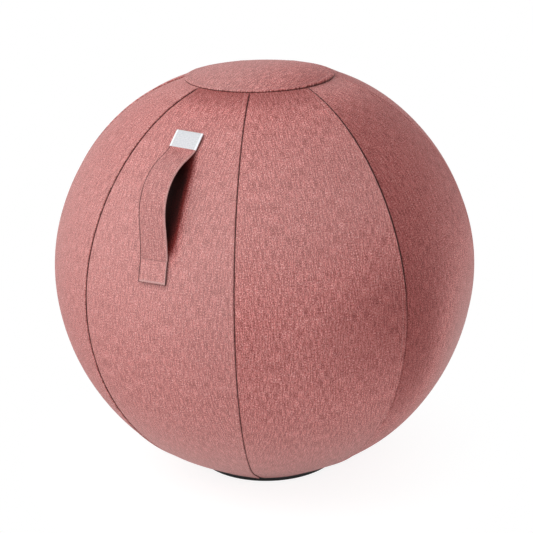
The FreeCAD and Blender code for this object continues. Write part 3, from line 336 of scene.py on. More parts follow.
def meshFrom(name, points, faces, material, uvs=None, **marks):
    mesh = bpy.data.meshes.new(name)
    mesh.from_pydata(points, [], faces)
    if uvs:
        layer = mesh.uv_layers.new(name="cloth")
        for loop in mesh.loops:
            layer.data[loop.index].uv = uvs[loop.vertex_index]
    for mark, values in marks.items():
        mesh.attributes.new(mark, "FLOAT", "POINT").data.foreach_set("value", values)
    mesh.shade_smooth()
    mesh.materials.append(material)
    mesh.update()
    piece = bpy.data.objects.new(name, mesh)
    bpy.context.scene.collection.objects.link(piece)
    return piece


def gridFaces(rows, columns, closed=False):
    # quads between rows of points, each row an open or a closed line
    return [(row * columns + k, row * columns + (k + 1) % columns,
             (row + 1) * columns + (k + 1) % columns, (row + 1) * columns + k)
            for row in range(rows - 1) for k in range(columns if closed else columns - 1)]


def onCover(piece, slot, *stands):
    # rides with the cover, and stands for these CAD nodes
    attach(piece, "cover")
    if stands:
        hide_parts(*stands)
    return piece


def faceOutwards(mesh, weld=0.0):
    work = bmesh.new()
    work.from_mesh(mesh)
    if weld:
        bmesh.ops.remove_doubles(work, verts=work.verts, dist=weld)
    bmesh.ops.recalc_face_normals(work, faces=work.faces)
    work.to_mesh(mesh)
    work.free()


def addWall(piece, thickness):
    # gives a sheet its inner face and its edges
    wall = piece.modifiers.new("wall", "SOLIDIFY")
    wall.thickness = thickness
    wall.offset = -1


def ease(t):
    t = max(0.0, min(1.0, t))
    return t * t * (3 - 2 * t)


def along(table, x):
    # a height read from a table of (distance, height), smoothly between its rows
    for (x0, y0), (x1, y1) in zip(table, table[1:]):
        if x <= x1:
            return y0 + (y1 - y0) * ease((x - x0) / (x1 - x0))
    return table[-1][1]


panel = {
    "wall": 0.9,        # mm
    "lapUnder": 1.6,    # mm that each panel reaches under its neighbour
    # mm in from the folded edge that lies on top, and how high the cloth stands there
    "lapOver": [(0, -0.5), (0.35, 0.8), (1.0, 1.35), (3.0, 1.25), (5.0, 0.9), (6.2, 0.3),
                (8.2, 0.65), (14, 0.2), (22, 0)],
    # the same from the edge that goes under
    "dipUnder": [(0, -1.3), (1.6, -1.25), (3.4, -0.9), (5.5, -0.2), (10, 0)],
    "overSteps": [0, 0.2, 0.4, 0.7, 1.0, 1.8, 3.0, 4.2, 5.2, 5.8, 6.2, 6.7, 7.6, 9, 11, 14, 18, 22],
    "underSteps": [0, 0.8, 1.6, 2.1, 2.7, 3.3, 4.2, 5.5, 7.5, 10, 14],
    "middle": 24,       # columns between the two edges
    "stitchIn": 6.2,    # mm from the folded edge to the stitches
    "wander": 0.5,      # mm of soft unevenness
    "drawn": 2.2,       # mm that the cover hangs in below the ball's middle, but for the zip
    "drawnFrom": 60, "drawnOver": 420, "zipAt": 202.5,      # mm up the side, mm, degrees round
    # how wide the painted shade line at a panel's under edge shows, in mm; others take the last
    "gap": {0: 1.1, 1: 1.1, 2: 3.0, 3: 1.3, "other": 1.1},
    # painted light and shade, 0.5 being none: over the whole panel, just under the top panel,
    # and in the painted pale zone above the middle
    "nap": {0: (0.53, -0.16, 0.11), 1: (0.49, -0.10, 0.13), 2: (0.41, 0.15, 0.03),
            3: (0.46, -0.03, 0.0), 7: (0.52, 0.05, 0.10), "other": (0.52, -0.05, 0.10)},
    "lean": 0.145,       # painted shade: how much darker the side turned from the light is, round the middle
    "highPaintedShade": 0.02,   # painted shade: how much darker the third panel is above the middle
    "rimPaintedLight": 0.30,    # painted light: how much paler on its far side, below the middle
    "footPaintedLight": 0.19,   # painted light: how much paler the cloth is where it turns under
    "paintedTopZone": 9, "paintedPaleZone": (66, 30),       # degrees of polar angle
    # painted shadow of the strap on the panel under it
    "strapShade": 0.75,
    "shut": (2,),       # the panel whose painted shade line at its under edge fades out below the ball's middle
    # where the zip is, the two panels stop short of each other beside its coils, in mm
    "zipEdge": 3.1, "zipPolar": (59.2, 141.8), "zipPanels": (4, 5),
    "zipHem": [(0, -0.45), (0.5, -0.05), (1.2, 0)],
    "flat": (0.273, 0.812), "flatArea": 0.172,      # metres as cut, with the seam allowances
}


def drawnIn(length, azimuth):
    # the cloth is a little slack between the middle and the foot
    up = (length - mm(panel["drawnFrom"])) / mm(panel["drawnOver"])
    share = math.sin(math.pi * max(0.0, min(1.0, up))) ** 2
    fromZip = abs((math.degrees(azimuth) - panel["zipAt"] + 180) % 360 - 180)
    return -mm(panel["drawn"]) * share * ease((fromZip - 10) / 25)


def napOf(number, across, polar):
    # painted light and shade over a panel, 0.5 being none: a level for each panel, a band under the
    # top panel, a pale band above the middle, a pale foot, and painted shade on the sides turned
    # from the light
    # across runs from -1 to 1 over a panel; polar is in degrees
    level, top, pale = panel["nap"].get(number, panel["nap"]["other"])
    middle, spread = panel["paintedPaleZone"]
    value = level + top * math.exp(-((polar - 20) / panel["paintedTopZone"]) ** 2)
    value += pale * math.exp(-((polar - middle) / spread) ** 2)
    value += panel["footPaintedLight"] * math.exp(-((polar - 140) / 20) ** 2)
    if number == 1:
        turned = 0.55 + 0.75 * ease((across + 0.4) / 1.4)
        value -= panel["lean"] * turned * math.exp(-((polar - 82) / 20) ** 2)
    if number == 2:
        nearSide = 1 - ease((across + 1.0) / 1.3)
        value -= 0.5 * panel["lean"] * nearSide * math.exp(-((polar - 82) / 28) ** 2)
        value -= panel["highPaintedShade"] * math.exp(-((polar - 52) / 18) ** 2)
        farSide = ease((across + 0.7) / 1.0)
        value += panel["rimPaintedLight"] * farSide * math.exp(-((polar - 105) / 22) ** 2)
    if number == 0:
        # painted shadow of the strap, on the panel under it and to its right
        aside, up = (across - 0.10) / 0.20, (polar - 56.5) / 13.0
        value -= panel["strapShade"] * math.exp(-aside ** 4 - up ** 4)
    return max(0.0, min(1.0, value))


def zipShare(number, polar):
    # 1 along the zip's panels where the zip is, 0 elsewhere
    first, last = panel["zipPolar"]
    if number not in panel["zipPanels"]:
        return 0.0
    return ease((polar - first) / 0.9) * ease((last - polar) / 0.9)


def panelHeight(fromOver, fromUnder, length, azimuth, number, polar):
    fade = ease((crownStart - length) / mm(10))
    over, under = along(panel["lapOver"], fromOver), along(panel["dipUnder"], fromUnder)
    share = zipShare(number, polar)
    if number == panel["zipPanels"][0]:
        over += share * (along(panel["zipHem"], fromOver) - over)
    else:
        under += share * (along(panel["zipHem"], fromUnder) - under)
    height = (over + under) * fade
    soft = noise.noise(Vector((azimuth * 3.1, length * 9.0, number * 7.3)))
    inner = ease(fromOver / 30) * ease(fromUnder / 30) * ease(length / mm(60)) * fade
    return mm(height + soft * panel["wander"] * inner) + drawnIn(length, azimuth)


def makePanel(number):
    turn = 2 * math.pi / ball["panels"]
    middleOf = turn * number
    gap = panel["gap"].get(number, panel["gap"]["other"])
    points, uvs, crease, nap = [], [], [], []
    for reach, z, nx, nz, length in coverLine:
        polar = math.degrees(math.atan2(reach, z - centre))
        half = max(reach, 0.02) * turn / 2 * 1000
        share = zipShare(number, polar)
        underEdge, overEdge = -half - panel["lapUnder"], half
        if number == panel["zipPanels"][0]:
            overEdge -= share * panel["zipEdge"]
        else:
            underEdge += share * (panel["lapUnder"] + panel["zipEdge"])
        left = [underEdge + s for s in panel["underSteps"]]
        right = [overEdge - s for s in reversed(panel["overSteps"])]
        spare = panel["middle"]
        middle = [left[-1] + (right[0] - left[-1]) * i / spare for i in range(1, spare)]
        for x in left + middle + right:
            azimuth = middleOf + mm(x) / max(reach, 0.02)
            height = panelHeight(overEdge - x, x - underEdge, length, azimuth, number, polar)
            out = around(azimuth)
            points.append(out * (reach + nx * height) + Vector((0, 0, z + nz * height)))
            uvs.append((mm(x) + 0.37 * number, length))
            # painted shade: the dark line in the groove along the panel's under edge, narrower low
            # down, left out along the zip and fading out at the top panel
            under = x - underEdge
            narrow = gap * (1 - 0.4 * ease((polar - 105) / 35))
            dark = (1 - ease((under - panel["lapUnder"] - narrow + 0.5) / 1.0)) * (1 - share)
            if number in panel["shut"]:
                dark *= 1 - 0.85 * ease((polar - 72) / 26)
            crease.append(0.96 * dark * ease((crownStart - length) / mm(4)))
            nap.append(napOf(number, x / half, polar))
    count = len(panel["underSteps"]) + len(panel["overSteps"]) + panel["middle"] - 1
    piece = meshFrom(f"panel.{number + 1}", points, gridFaces(len(coverLine), count),
                     feltMaterial, uvs, crease=crease, nap=nap)
    addWall(piece, mm(panel["wall"]))
    return onCover(piece, "cover_fabric", f"cover_gore_{number + 1}")


panels = [makePanel(number) for number in range(ball["panels"])]
print("cover panels made")


crown = {
    "rings": 46, "sides": 288,
    "wall": 0.8, "hem": 8.0, "hemRise": 0.5, "groove": 0.6, "bulge": 0.35,      # mm
    "nap": 0.62, "shade": 0.20, "shadeAt": 100,    # its painted light level, and painted shade that grows towards this side
    "flecks": 0.8,      # its flecks are drawn larger, as it is seen aslant
    "lift": 3.0, "liftAt": 95, "liftOver": 30,     # mm, and degrees: where the edge stands off
    "flat": (0.242, 0.242), "flatArea": 0.046,     # metres as cut, with the turned-in hem
}


def onDome(reach):
    return domeHeight + math.sqrt(ball["dome"] ** 2 - reach ** 2)


def crownHeight(reach, azimuth):
    # height over the plain dome: a folded hem, a sewn groove inside it, soft rises over the seams
    inFrom = (ball["crownRadius"] - reach) * 1000
    hem = crown["hemRise"] * ease((crown["hem"] + 1.5 - inFrom) / 3)
    groove = -crown["groove"] * math.exp(-((inFrom - crown["hem"]) / 1.0) ** 2)
    turn = 2 * math.pi / ball["panels"]
    seam = ((azimuth / turn + 0.5) % 1.0 - 0.5) * turn * reach * 1000
    rise = crown["bulge"] * math.exp(-(seam / 6) ** 2) * ease(1 - inFrom / 20)
    wander = noise.noise(Vector((math.cos(azimuth) * 4, math.sin(azimuth) * 4, 2)))
    pucker = 0.07 * math.sin(azimuth * 96 + 2 * wander)
    aside = (math.degrees(azimuth) - crown["liftAt"] + 180) % 360 - 180
    lift = crown["lift"] * math.exp(-(aside / crown["liftOver"]) ** 2) * ease(1 - inFrom / 14)
    return mm(hem + groove + rise + lift + pucker * math.exp(-((inFrom - crown["hem"]) / 4) ** 2))


def makeCrown():
    points, uvs, faces, crease, nap = [], [], [], [], []
    radius, edge = ball["crownRadius"], mm(0.9)
    reaches = [radius * (i / crown["rings"]) ** 0.7 for i in range(1, crown["rings"])]
    reaches = [r for r in reaches if r < radius - edge]
    rounds = [math.pi / 2 * (1 - i / 5) for i in range(6)]
    profile = [(r, None) for r in reaches]
    profile += [(radius - edge + edge * math.cos(a), a) for a in rounds]
    profile.append((radius, "foot"))
    points.append(Vector((0, 0, onDome(0) + crownHeight(0, 0))))
    uvs.append((3.0, 0.0))
    crease.append(0.0)
    nap.append(crown["nap"])
    for reach, bend in profile:
        for side in range(crown["sides"]):
            azimuth = 2 * math.pi * side / crown["sides"]
            top = min(reach, radius - edge)
            z = onDome(top) + crownHeight(top, azimuth)
            if bend == "foot":
                z = onDome(radius) - mm(1.55)
            elif bend is not None:
                z += edge * (math.sin(bend) - 1)
            out = around(azimuth) * reach
            points.append(Vector((out.x, out.y, z)))
            uvs.append((out.x * crown["flecks"] + 3, out.y * crown["flecks"]))
            inFrom = (radius - reach) * 1000
            # painted shade in the sewn groove, and a painted shadow on the foot under the raised
            # edge
            sewn = 0.35 * math.exp(-((inFrom - crown["hem"]) / 0.8) ** 2)
            crease.append(0.97 if bend == "foot" else sewn)
            # painted shade, darker towards shadeAt
            turned = out.dot(around(math.radians(crown["shadeAt"]))) / radius
            nap.append(crown["nap"] - crown["shade"] * ease((turned + 0.2) / 1.2))
    sides = crown["sides"]
    for side in range(sides):
        after = (side + 1) % sides
        faces.append((0, 1 + side, 1 + after))
        for ring in range(len(profile) - 1):
            a, b = 1 + ring * sides, 1 + (ring + 1) * sides
            faces.append((a + side, b + side, b + after, a + after))
    piece = meshFrom("topPanel", points, faces, feltMaterial, uvs, crease=crease, nap=nap)
    addWall(piece, mm(crown["wall"]))
    return onCover(piece, "cover_fabric", "crown_panel")


topPanel = makeCrown()
print("top panel made")


def turnedPiece(name, profile, sides, material, node, slot):
    # profile is a closed loop of (reach, height), or runs from axis to axis
    points, faces, starts = [], [], []
    for reach, z in profile:
        starts.append(len(points))
        if reach < 1e-6:
            points.append(Vector((0, 0, z)))
        else:
            points += [around(2 * math.pi * i / sides) * reach + Vector((0, 0, z))
                       for i in range(sides)]
    pairs = list(zip(range(len(profile) - 1), range(1, len(profile))))
    if profile[0][0] >= 1e-6:
        pairs.append((len(profile) - 1, 0))
    for first, second in pairs:
        for i in range(sides):
            j = (i + 1) % sides
            a, b = starts[first], starts[second]
            if profile[first][0] < 1e-6:
                faces.append((a, b + j, b + i))
            elif profile[second][0] < 1e-6:
                faces.append((a + i, b, a + j)[::-1])
            else:
                faces.append((a + i, a + j, b + j, b + i))
    piece = meshFrom(name, points, faces, material)
    faceOutwards(piece.data)
    return onCover(piece, slot, node)


base = {"sheet": 0.0012, "bend": 0.0018, "steps": 6, "sides": 192,
        "flat": (0.248, 0.248), "flatArea": 0.0483,      # metres as cut, with the turned-up rim
        "slope": (coverLine[1][0] - coverLine[0][0]) / (coverLine[1][1] - coverLine[0][1])}


def makeBase():
    rim, rise, sheet = ball["rimRadius"], ball["rimHeight"], base["sheet"]
    bend = base["bend"]
    flat = rim - bend
    quarter = [math.pi / 2 * i / base["steps"] for i in range(base["steps"] + 1)]
    rings = [flat * t for t in (0.0, 0.2, 0.4, 0.6, 0.75, 0.85, 0.93, 0.98)]
    outside = [(r, 0.0) for r in rings]
    outside += [(flat + bend * math.sin(a), bend - bend * math.cos(a)) for a in quarter]
    # its edge runs on up the skirt a little, inside the panels' lower edge
    up = ball["rimShows"] + mm(1.0)
    reach = rim + up * base["slope"] - mm(0.25)
    outside += [(rim - mm(0.1), rise), (reach, rise + up), (reach - sheet, rise + up)]
    inner = bend - sheet
    inside = [(flat + inner * math.sin(a), bend - inner * math.cos(a)) for a in reversed(quarter)]
    inside += [(r, sheet) for r in reversed(rings)]
    piece = turnedPiece("baseSheet", outside + inside, base["sides"], leatherMaterial, "base_sheet",
                        "base_leather")


makeBase()
print("base made")


def rowTree():
    # sets a small piece along a line of edges, at a pitch, lying on the surface
    tree = bpy.data.node_groups.new("rowOfPieces", "GeometryNodeTree")
    tree.interface.new_socket("Geometry", in_out="OUTPUT", socket_type="NodeSocketGeometry")
    for name, kind, value in (("Line", "Geometry", None), ("Piece", "Object", None),
                              ("Pitch", "Float", 0.0035), ("Scale", "Float", 1.0),
                              ("Unevenness", "Float", 0.05), ("Lean", "Float", 0.0),
                              ("Seed", "Int", 5), ("Material", "Material", None)):
        socket = tree.interface.new_socket(name, in_out="INPUT", socket_type="NodeSocket" + kind)
        if value is not None:
            socket.default_value = value
    given = addNode(tree, "NodeGroupInput")
    curve = addNode(tree, "GeometryNodeMeshToCurve", links=[("Mesh", given, "Line")])
    spaced = addNode(tree, "GeometryNodeResampleCurve", {"mode": "LENGTH"},
                     links=[("Curve", curve, "Curve"), ("Length", given, "Pitch")])
    facing = addNode(tree, "GeometryNodeInputNamedAttribute", {"data_type": "FLOAT_VECTOR"},
                     {"Name": "facing"})
    tangent = addNode(tree, "GeometryNodeInputTangent")
    first = addNode(tree, "FunctionNodeAlignRotationToVector", {"axis": "X"},
                    links=[("Vector", tangent, "Tangent")])
    second = addNode(tree, "FunctionNodeAlignRotationToVector", {"axis": "Z", "pivot_axis": "X"},
                     links=[("Rotation", first, "Rotation"), ("Vector", facing, "Attribute")])
    low, high = (addNode(tree, "ShaderNodeMath", {"operation": way}, {0: 1.0},
                         [(1, given, "Unevenness")]) for way in ("SUBTRACT", "ADD"))
    vary = addNode(tree, "FunctionNodeRandomValue", {"data_type": "FLOAT"},
                   links=[(2, low, 0), (3, high, 0), ("Seed", given, "Seed")])
    lean = addNode(tree, "FunctionNodeAxisAngleToRotation", values={"Axis": (0, 0, 1)},
                   links=[("Angle", given, "Lean")])
    leaned = addNode(tree, "FunctionNodeRotateRotation", {"rotation_space": "LOCAL"},
                     links=[("Rotation", second, "Rotation"), ("Rotate By", lean, "Rotation")])
    size = addNode(tree, "ShaderNodeMath", {"operation": "MULTIPLY"},
                   links=[(0, vary, 1), (1, given, "Scale")])
    shape = addNode(tree, "GeometryNodeObjectInfo", {"transform_space": "ORIGINAL"},
                    links=[("Object", given, "Piece")])
    placed = addNode(tree, "GeometryNodeInstanceOnPoints",
                     links=[("Points", spaced, "Curve"), ("Instance", shape, "Geometry"),
                            ("Rotation", leaned, "Rotation"), ("Scale", size, 0)])
    real = addNode(tree, "GeometryNodeRealizeInstances", links=[("Geometry", placed, "Instances")])
    painted = addNode(tree, "GeometryNodeSetMaterial",
                      links=[("Geometry", real, "Geometry"), ("Material", given, "Material")])
    addNode(tree, "NodeGroupOutput", links=[("Geometry", painted, "Geometry")])
    return tree


rows = rowTree()


def setRow(name, lines, piece, material, pitch, unevenness=0.05, lean=0.0, seed=5):
    # lines is a list of lists of (point, outward direction)
    points, edges, facings = [], [], []
    for line in lines:
        start = len(points)
        for point, out in line:
            points.append(point)
            facings.extend(out)
        edges += [(start + i, start + i + 1) for i in range(len(line) - 1)]
    mesh = bpy.data.meshes.new(name)
    mesh.from_pydata(points, edges, [])
    mesh.attributes.new("facing", "FLOAT_VECTOR", "POINT").data.foreach_set("vector", facings)
    row = bpy.data.objects.new(name, mesh)
    bpy.context.scene.collection.objects.link(row)
    modifier = row.modifiers.new("row", "NODES")
    modifier.node_group = rows
    given = {"Piece": piece, "Pitch": pitch, "Scale": 1.0, "Unevenness": unevenness, "Lean": lean,
             "Seed": seed, "Material": material}
    for item in rows.interface.items_tree:
        if item.item_type == "SOCKET" and item.in_out == "INPUT" and item.name in given:
            modifier[item.identifier] = given[item.name]
    view = bpy.context.evaluated_depsgraph_get()
    made = bpy.data.meshes.new_from_object(row.evaluated_get(view))
    row.modifiers.clear()
    row.data = made
    made.name = name
    made.shade_smooth()
    return row


def smallShape(name, size, sides, rings, power=1.0):
    # a low, closed, rounded bar; size is its half lengths in metres
    points = []
    for ring in range(rings + 1):
        up = math.pi * ring / rings
        for side in range(sides):
            turn = 2 * math.pi * side / sides
            c, s = math.cos(turn), math.sin(turn)
            wide = math.copysign(abs(math.sin(up)) ** power, 1)
            points.append((size[0] * math.copysign(abs(math.cos(up)) ** power, math.cos(up)),
                           size[1] * wide * c, size[2] * wide * s))
    mesh = bpy.data.meshes.new(name)
    mesh.from_pydata(points, [], gridFaces(rings + 1, sides, closed=True))
    faceOutwards(mesh, weld=1e-7)
    return bpy.data.objects.new(name, mesh)


stitch = {"half": 1.25, "radius": 0.3, "pitch": 3.4, "strapPitch": 3.0}      # mm
stitchShape = smallShape(
    "oneStitch", (mm(stitch["half"]), mm(stitch["radius"]), mm(stitch["radius"])), 6, 6, 0.8)


def coverStitches(name, line, seed):
    # sews a row of stitches on a panel
    row = setRow(name, [line], stitchShape, threadMaterial, mm(stitch["pitch"]), seed=seed)
    onCover(row, "cover_fabric")


def panelStitches(number):
    turn = 2 * math.pi / ball["panels"]
    line = []
    for reach, z, nx, nz, length in coverLine:
        if length > crownStart - mm(3):
            break
        half = reach * turn / 2 * 1000
        x = half - panel["stitchIn"]
        azimuth = turn * number + mm(x) / reach
        polar = math.degrees(math.atan2(reach, z - centre))
        height = panelHeight(panel["stitchIn"], 2 * half, length, azimuth, number, polar) + mm(0.12)
        out = around(azimuth)
        normal = out * nx + Vector((0, 0, nz))
        line.append((out * (reach + nx * height) + Vector((0, 0, z + nz * height)), normal))
    coverStitches(f"panelStitches.{number + 1}", line, number)


for number, sewn in enumerate(panels):
    panelStitches(number)


def crownStitches():
    line = []
    reach = ball["crownRadius"] - mm(crown["hem"])
    for i in range(361):
        azimuth = math.radians(i)
        z = onDome(reach) + crownHeight(reach, azimuth) + mm(0.1)
        outward = around(azimuth) * reach / ball["dome"] + Vector((0, 0, 1))
        line.append((around(azimuth) * reach + Vector((0, 0, z)), outward.normalized()))
    coverStitches("topPanelStitches", line, 31)


crownStitches()
print("cover stitched")


strap = {
    "azimuth": 0.7, "tilt": 1.0, "upperPolar": 42.3, "lowerPolar": 70.75,
    "upperPad": 28.4, "lowerPad": 32.4, "width": 44.0, "thick": 2.6, "offBall": 0.3,
    "bow": 85.0, "standOff": 28.0, "shift": 6.4,
    "fold": 1.1,          # mm, radius of the folded long edges
    "stitchIn": 3.2,      # mm from the long edges to their stitches
    "easeOver": 7,        # mm over which the band bends where it leaves a sewn end
    "lift": 3.0, "sway": -2.0, "twist": 4.5,      # mm, mm and degrees at the loop's middle
    "padRise": 0.35,      # mm that the turned-in lower end is thicker
    "bendOver": 24,       # mm of the loop, from each sewn end, over which it starts to swing
    # painted light, 0.5 being none, on its free part and its sewn ends, painted shade towards its
    # top, and how much darker its free part is drawn
    "napFree": 0.62, "napSewn": 0.64, "napTop": 0.08, "dull": 0.09,
}
handleMiddle = (strap["upperPolar"] + strap["lowerPolar"]) / 2
handleFrame = (Matrix.Translation((0, 0, centre))
               @ Matrix.Rotation(math.radians(strap["azimuth"] - 90), 4, "Z")
               @ Matrix.Rotation(math.radians(handleMiddle - 90), 4, "Y")
               @ Matrix.Rotation(math.radians(strap["tilt"]), 4, "X"))


def strapLine():
    # the middle of the band, seen from its side, in mm, from its lower end up
    half = (strap["lowerPolar"] - strap["upperPolar"]) / 2
    radius = ball["radius"] * 1000
    padMiddle = radius + strap["offBall"] + strap["thick"] / 2
    bowRadius = strap["bow"] - strap["thick"] / 2
    bowCentre = (radius + strap["standOff"] - strap["bow"], strap["shift"])

    def onPad(degrees):
        a = math.radians(degrees)
        return (padMiddle * math.cos(a), padMiddle * math.sin(a))

    def touch(side):
        edge = onPad(side * half)
        dx, dz = edge[0] - bowCentre[0], edge[1] - bowCentre[1]
        return math.atan2(dz, dx) - side * math.acos(bowRadius / math.hypot(dx, dz))

    points = []
    lowEnd = half + math.degrees(strap["lowerPad"] / radius)
    highEnd = half + math.degrees(strap["upperPad"] / radius)
    points += [onPad(-lowEnd + (lowEnd - half) * i / 20) for i in range(20)]
    low, high = touch(-1), touch(1)
    bow = [(bowCentre[0] + bowRadius * math.cos(low + (high - low) * i / 60),
            bowCentre[1] + bowRadius * math.sin(low + (high - low) * i / 60)) for i in range(61)]
    points += [onPad(-half)]
    points += bow
    points += [onPad(half + (highEnd - half) * i / 20) for i in range(21)]
    return points


def resample(points, step):
    lengths = [0.0]
    for a, b in zip(points, points[1:]):
        lengths.append(lengths[-1] + math.dist(a, b))
    count = round(lengths[-1] / step)
    out, k = [], 0
    for i in range(count + 1):
        want = lengths[-1] * i / count
        while k < len(points) - 2 and lengths[k + 1] < want:
            k += 1
        t = (want - lengths[k]) / (lengths[k + 1] - lengths[k])
        out.append(tuple(a + (b - a) * t for a, b in zip(points[k], points[k + 1])))
    return out, lengths[-1]


def smoothLine(points, reach):
    out = []
    for i in range(len(points)):
        low, high = max(0, i - reach), min(len(points) - 1, i + reach)
        near = min(i - low, high - i)
        group = points[i - near:i + near + 1]
        out.append(tuple(sum(p[k] for p in group) / len(group) for k in (0, 1)))
    return out


def strapSection():
    # half width along y, half thickness along x, round at the folded long edges
    w, t = strap["width"] / 2, strap["thick"] / 2
    section = []
    flats = [-1, -0.96, -0.92, -0.88, -0.82, -0.6, -0.3, 0, 0.3, 0.6, 0.82, 0.88, 0.92, 0.96, 1]
    straight = w - strap["fold"]

    def puff(y):
        # the band is a little thinner along its stitches
        near = abs(abs(y) - (w - strap["stitchIn"]))
        return t - 0.28 * math.exp(-(near / 0.9) ** 2)

    for f in flats:
        section.append((puff(f * straight), f * straight))
    for i in range(1, 6):
        a = math.pi / 2 - math.pi * i / 6
        section.append((t * math.sin(a), straight + strap["fold"] * math.cos(a)))
    for f in reversed(flats):
        section.append((-puff(f * straight), f * straight))
    for i in range(1, 6):
        a = -math.pi / 2 - math.pi * i / 6
        section.append((t * math.sin(a), -straight + strap["fold"] * math.cos(a)))
    return section


strapPoints, strapLong = resample(strapLine(), 1.0)
strapPoints = smoothLine(strapPoints, strap["easeOver"])
strapCount = len(strapPoints)
section = strapSection()
padLow = round(strap["lowerPad"] / strapLong * strapCount)
padHigh = strapCount - round(strap["upperPad"] / strapLong * strapCount)


def strapDirection(i):
    a, b = strapPoints[max(0, i - 1)], strapPoints[min(strapCount - 1, i + 1)]
    length = math.dist(a, b)
    return (b[0] - a[0]) / length, (b[1] - a[1]) / length


def strapPlace(i, out, across):
    # a point beside the band's middle line: out from its outer face's side, across its width
    dx, dz = strapDirection(i)
    free = max(0.0, min(1.0, (i - padLow) / (padHigh - padLow)))
    bow = math.sin(math.pi * free) ** 2
    out += bow * (strap["lift"] + across * math.sin(math.radians(strap["twist"])))
    x, z = strapPoints[i][0] + dz * out, strapPoints[i][1] - dx * out
    return handleFrame @ Vector((mm(x), mm(across + bow * strap["sway"]), mm(z)))


def strapPaintedLight(i, out, across):
    # painted light and shade: its under side painted dark as shade, a painted highlight along its
    # right fold and at its lower end, and painted shade towards its top
    sewn = ease((padLow + 2 - i) / 3) + ease((i - padHigh + 2) / 3)
    if out < -0.6:
        return 0.06
    paintedHighlightAndShade = 0.2 * ease(1.5 - (strap["width"] / 2 - across) / 1.6)
    paintedHighlightAndShade = max(paintedHighlightAndShade, 0.3 * math.exp(-((i - 2.5) / 1.2) ** 2))
    paintedHighlightAndShade -= strap["napTop"] * ease((i - padHigh + 42) / 34)
    return strap["napFree"] + (strap["napSewn"] - strap["napFree"]) * min(1.0, sewn) + paintedHighlightAndShade


def strapCrease(i, out, across):
    # painted shade: a dark line along the left fold where the band's shadow falls, along the right
    # fold of the sewn lower end, and across where that end starts and stops; the free part is drawn
    # a little darker
    toLeft, toRight = strap["width"] / 2 + across, strap["width"] / 2 - across
    if out < -0.6:
        return 0.0
    dark = strap["dull"] if padLow < i < padHigh and toRight > 2.5 else 0.0
    dark = max(dark, 0.97 * (1 - ease((toLeft - 0.9) / 1.5)))
    if i < padLow:
        dark = max(dark, 0.9 * (1 - ease(toRight / 0.7)))
    dark = max(dark, 0.45 * math.exp(-((i - padLow) / 0.8) ** 2))
    return max(dark, 0.9 * math.exp(-(i / 0.8) ** 2))


def makeStrapHalf(name, first, last, cap):
    points, uvs, crease, nap = [], [], [], []
    n = len(section)
    for i in range(first, last + 1):
        for k, (out, across) in enumerate(section):
            sewn = ease((padLow + 0.5 - i) / 1.5) * strap["padRise"]
            points.append(strapPlace(i, out + (sewn if out > 0 else 0), across))
            side = 0.0 if out > 0 else 0.2
            uvs.append((mm(across) + side + 5, mm(i * strapLong / (strapCount - 1))))
            crease.append(strapCrease(i, out, across))
            nap.append(strapPaintedLight(i, out, across))
    faces = gridFaces(last - first + 1, n, closed=True)
    end = 0 if cap == "start" else (last - first) * n
    ring = [end + k for k in range(n)]
    middle = len(points)
    points.append(sum((points[k] for k in ring), Vector()) / n)
    uvs.append(uvs[ring[0]])
    # the cut end is painted dark, as painted shade
    crease.append(0.6)
    nap.append(0.3)
    for k in range(n):
        faces.append((ring[k], middle, ring[(k + 1) % n]))
    piece = meshFrom(name, points, faces, feltMaterial, uvs, crease=crease, nap=nap)
    faceOutwards(piece.data)
    return piece


half = strapCount // 2
lowerHalf = makeStrapHalf("strapLower", 0, half, "start")
upperHalf = makeStrapHalf("strapUpper", half, strapCount - 1, "end")


def bendsFrom(piece, sewn):
    # bakes its placement into its mesh; the points at the sewn end and bendOver mm along the loop
    # are worked out but not kept
    free = sewn + (strap["bendOver"] if sewn == padLow else -strap["bendOver"])
    tuple(strapPlace(sewn, 0, 0))
    tuple(strapPlace(free, 0, 0))
    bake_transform(piece)


bendsFrom(lowerHalf, padLow)
bendsFrom(upperHalf, padHigh)
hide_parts("handle_lower_end")
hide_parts("handle_upper_end", "handle_loop")


def strapOutward(i):
    dx, dz = strapDirection(i)
    return handleFrame.to_3x3() @ Vector((dz, 0, -dx))


def strapStitchLine(side, first, last):
    across = side * (strap["width"] / 2 - strap["stitchIn"])
    return [(strapPlace(i, strap["thick"] / 2 - 0.16, across), strapOutward(i))
            for i in range(first, last + 1)]


def acrossLine(i):
    reach = strap["width"] / 2 - strap["stitchIn"]
    return [(strapPlace(i, strap["thick"] / 2 + 0.02, -reach + 2 * reach * k / 12),
             strapOutward(i)) for k in range(13)]


for name, first, last, sewn in (("strapStitchesLower", 3, half, padLow),
                                ("strapStitchesUpper", half, padHigh - 1, padHigh)):
    lines = [strapStitchLine(side, first, last) for side in (-1, 1)]
    if sewn == padLow:
        lines += [acrossLine(3), acrossLine(padLow - 1)]
    row = setRow(name, lines, stitchShape, threadMaterial, mm(stitch["strapPitch"]), seed=41)
    bendsFrom(row, sewn)
print("handle strap made")


label = {"width": 44.6, "thick": 0.5, "offStrap": 0.25, "rows": 30, "columns": 24,
         "band": 3.2,      # mm, the paler weave along its two ends
         "skew": 4.2}      # degrees that it is sewn on out of square


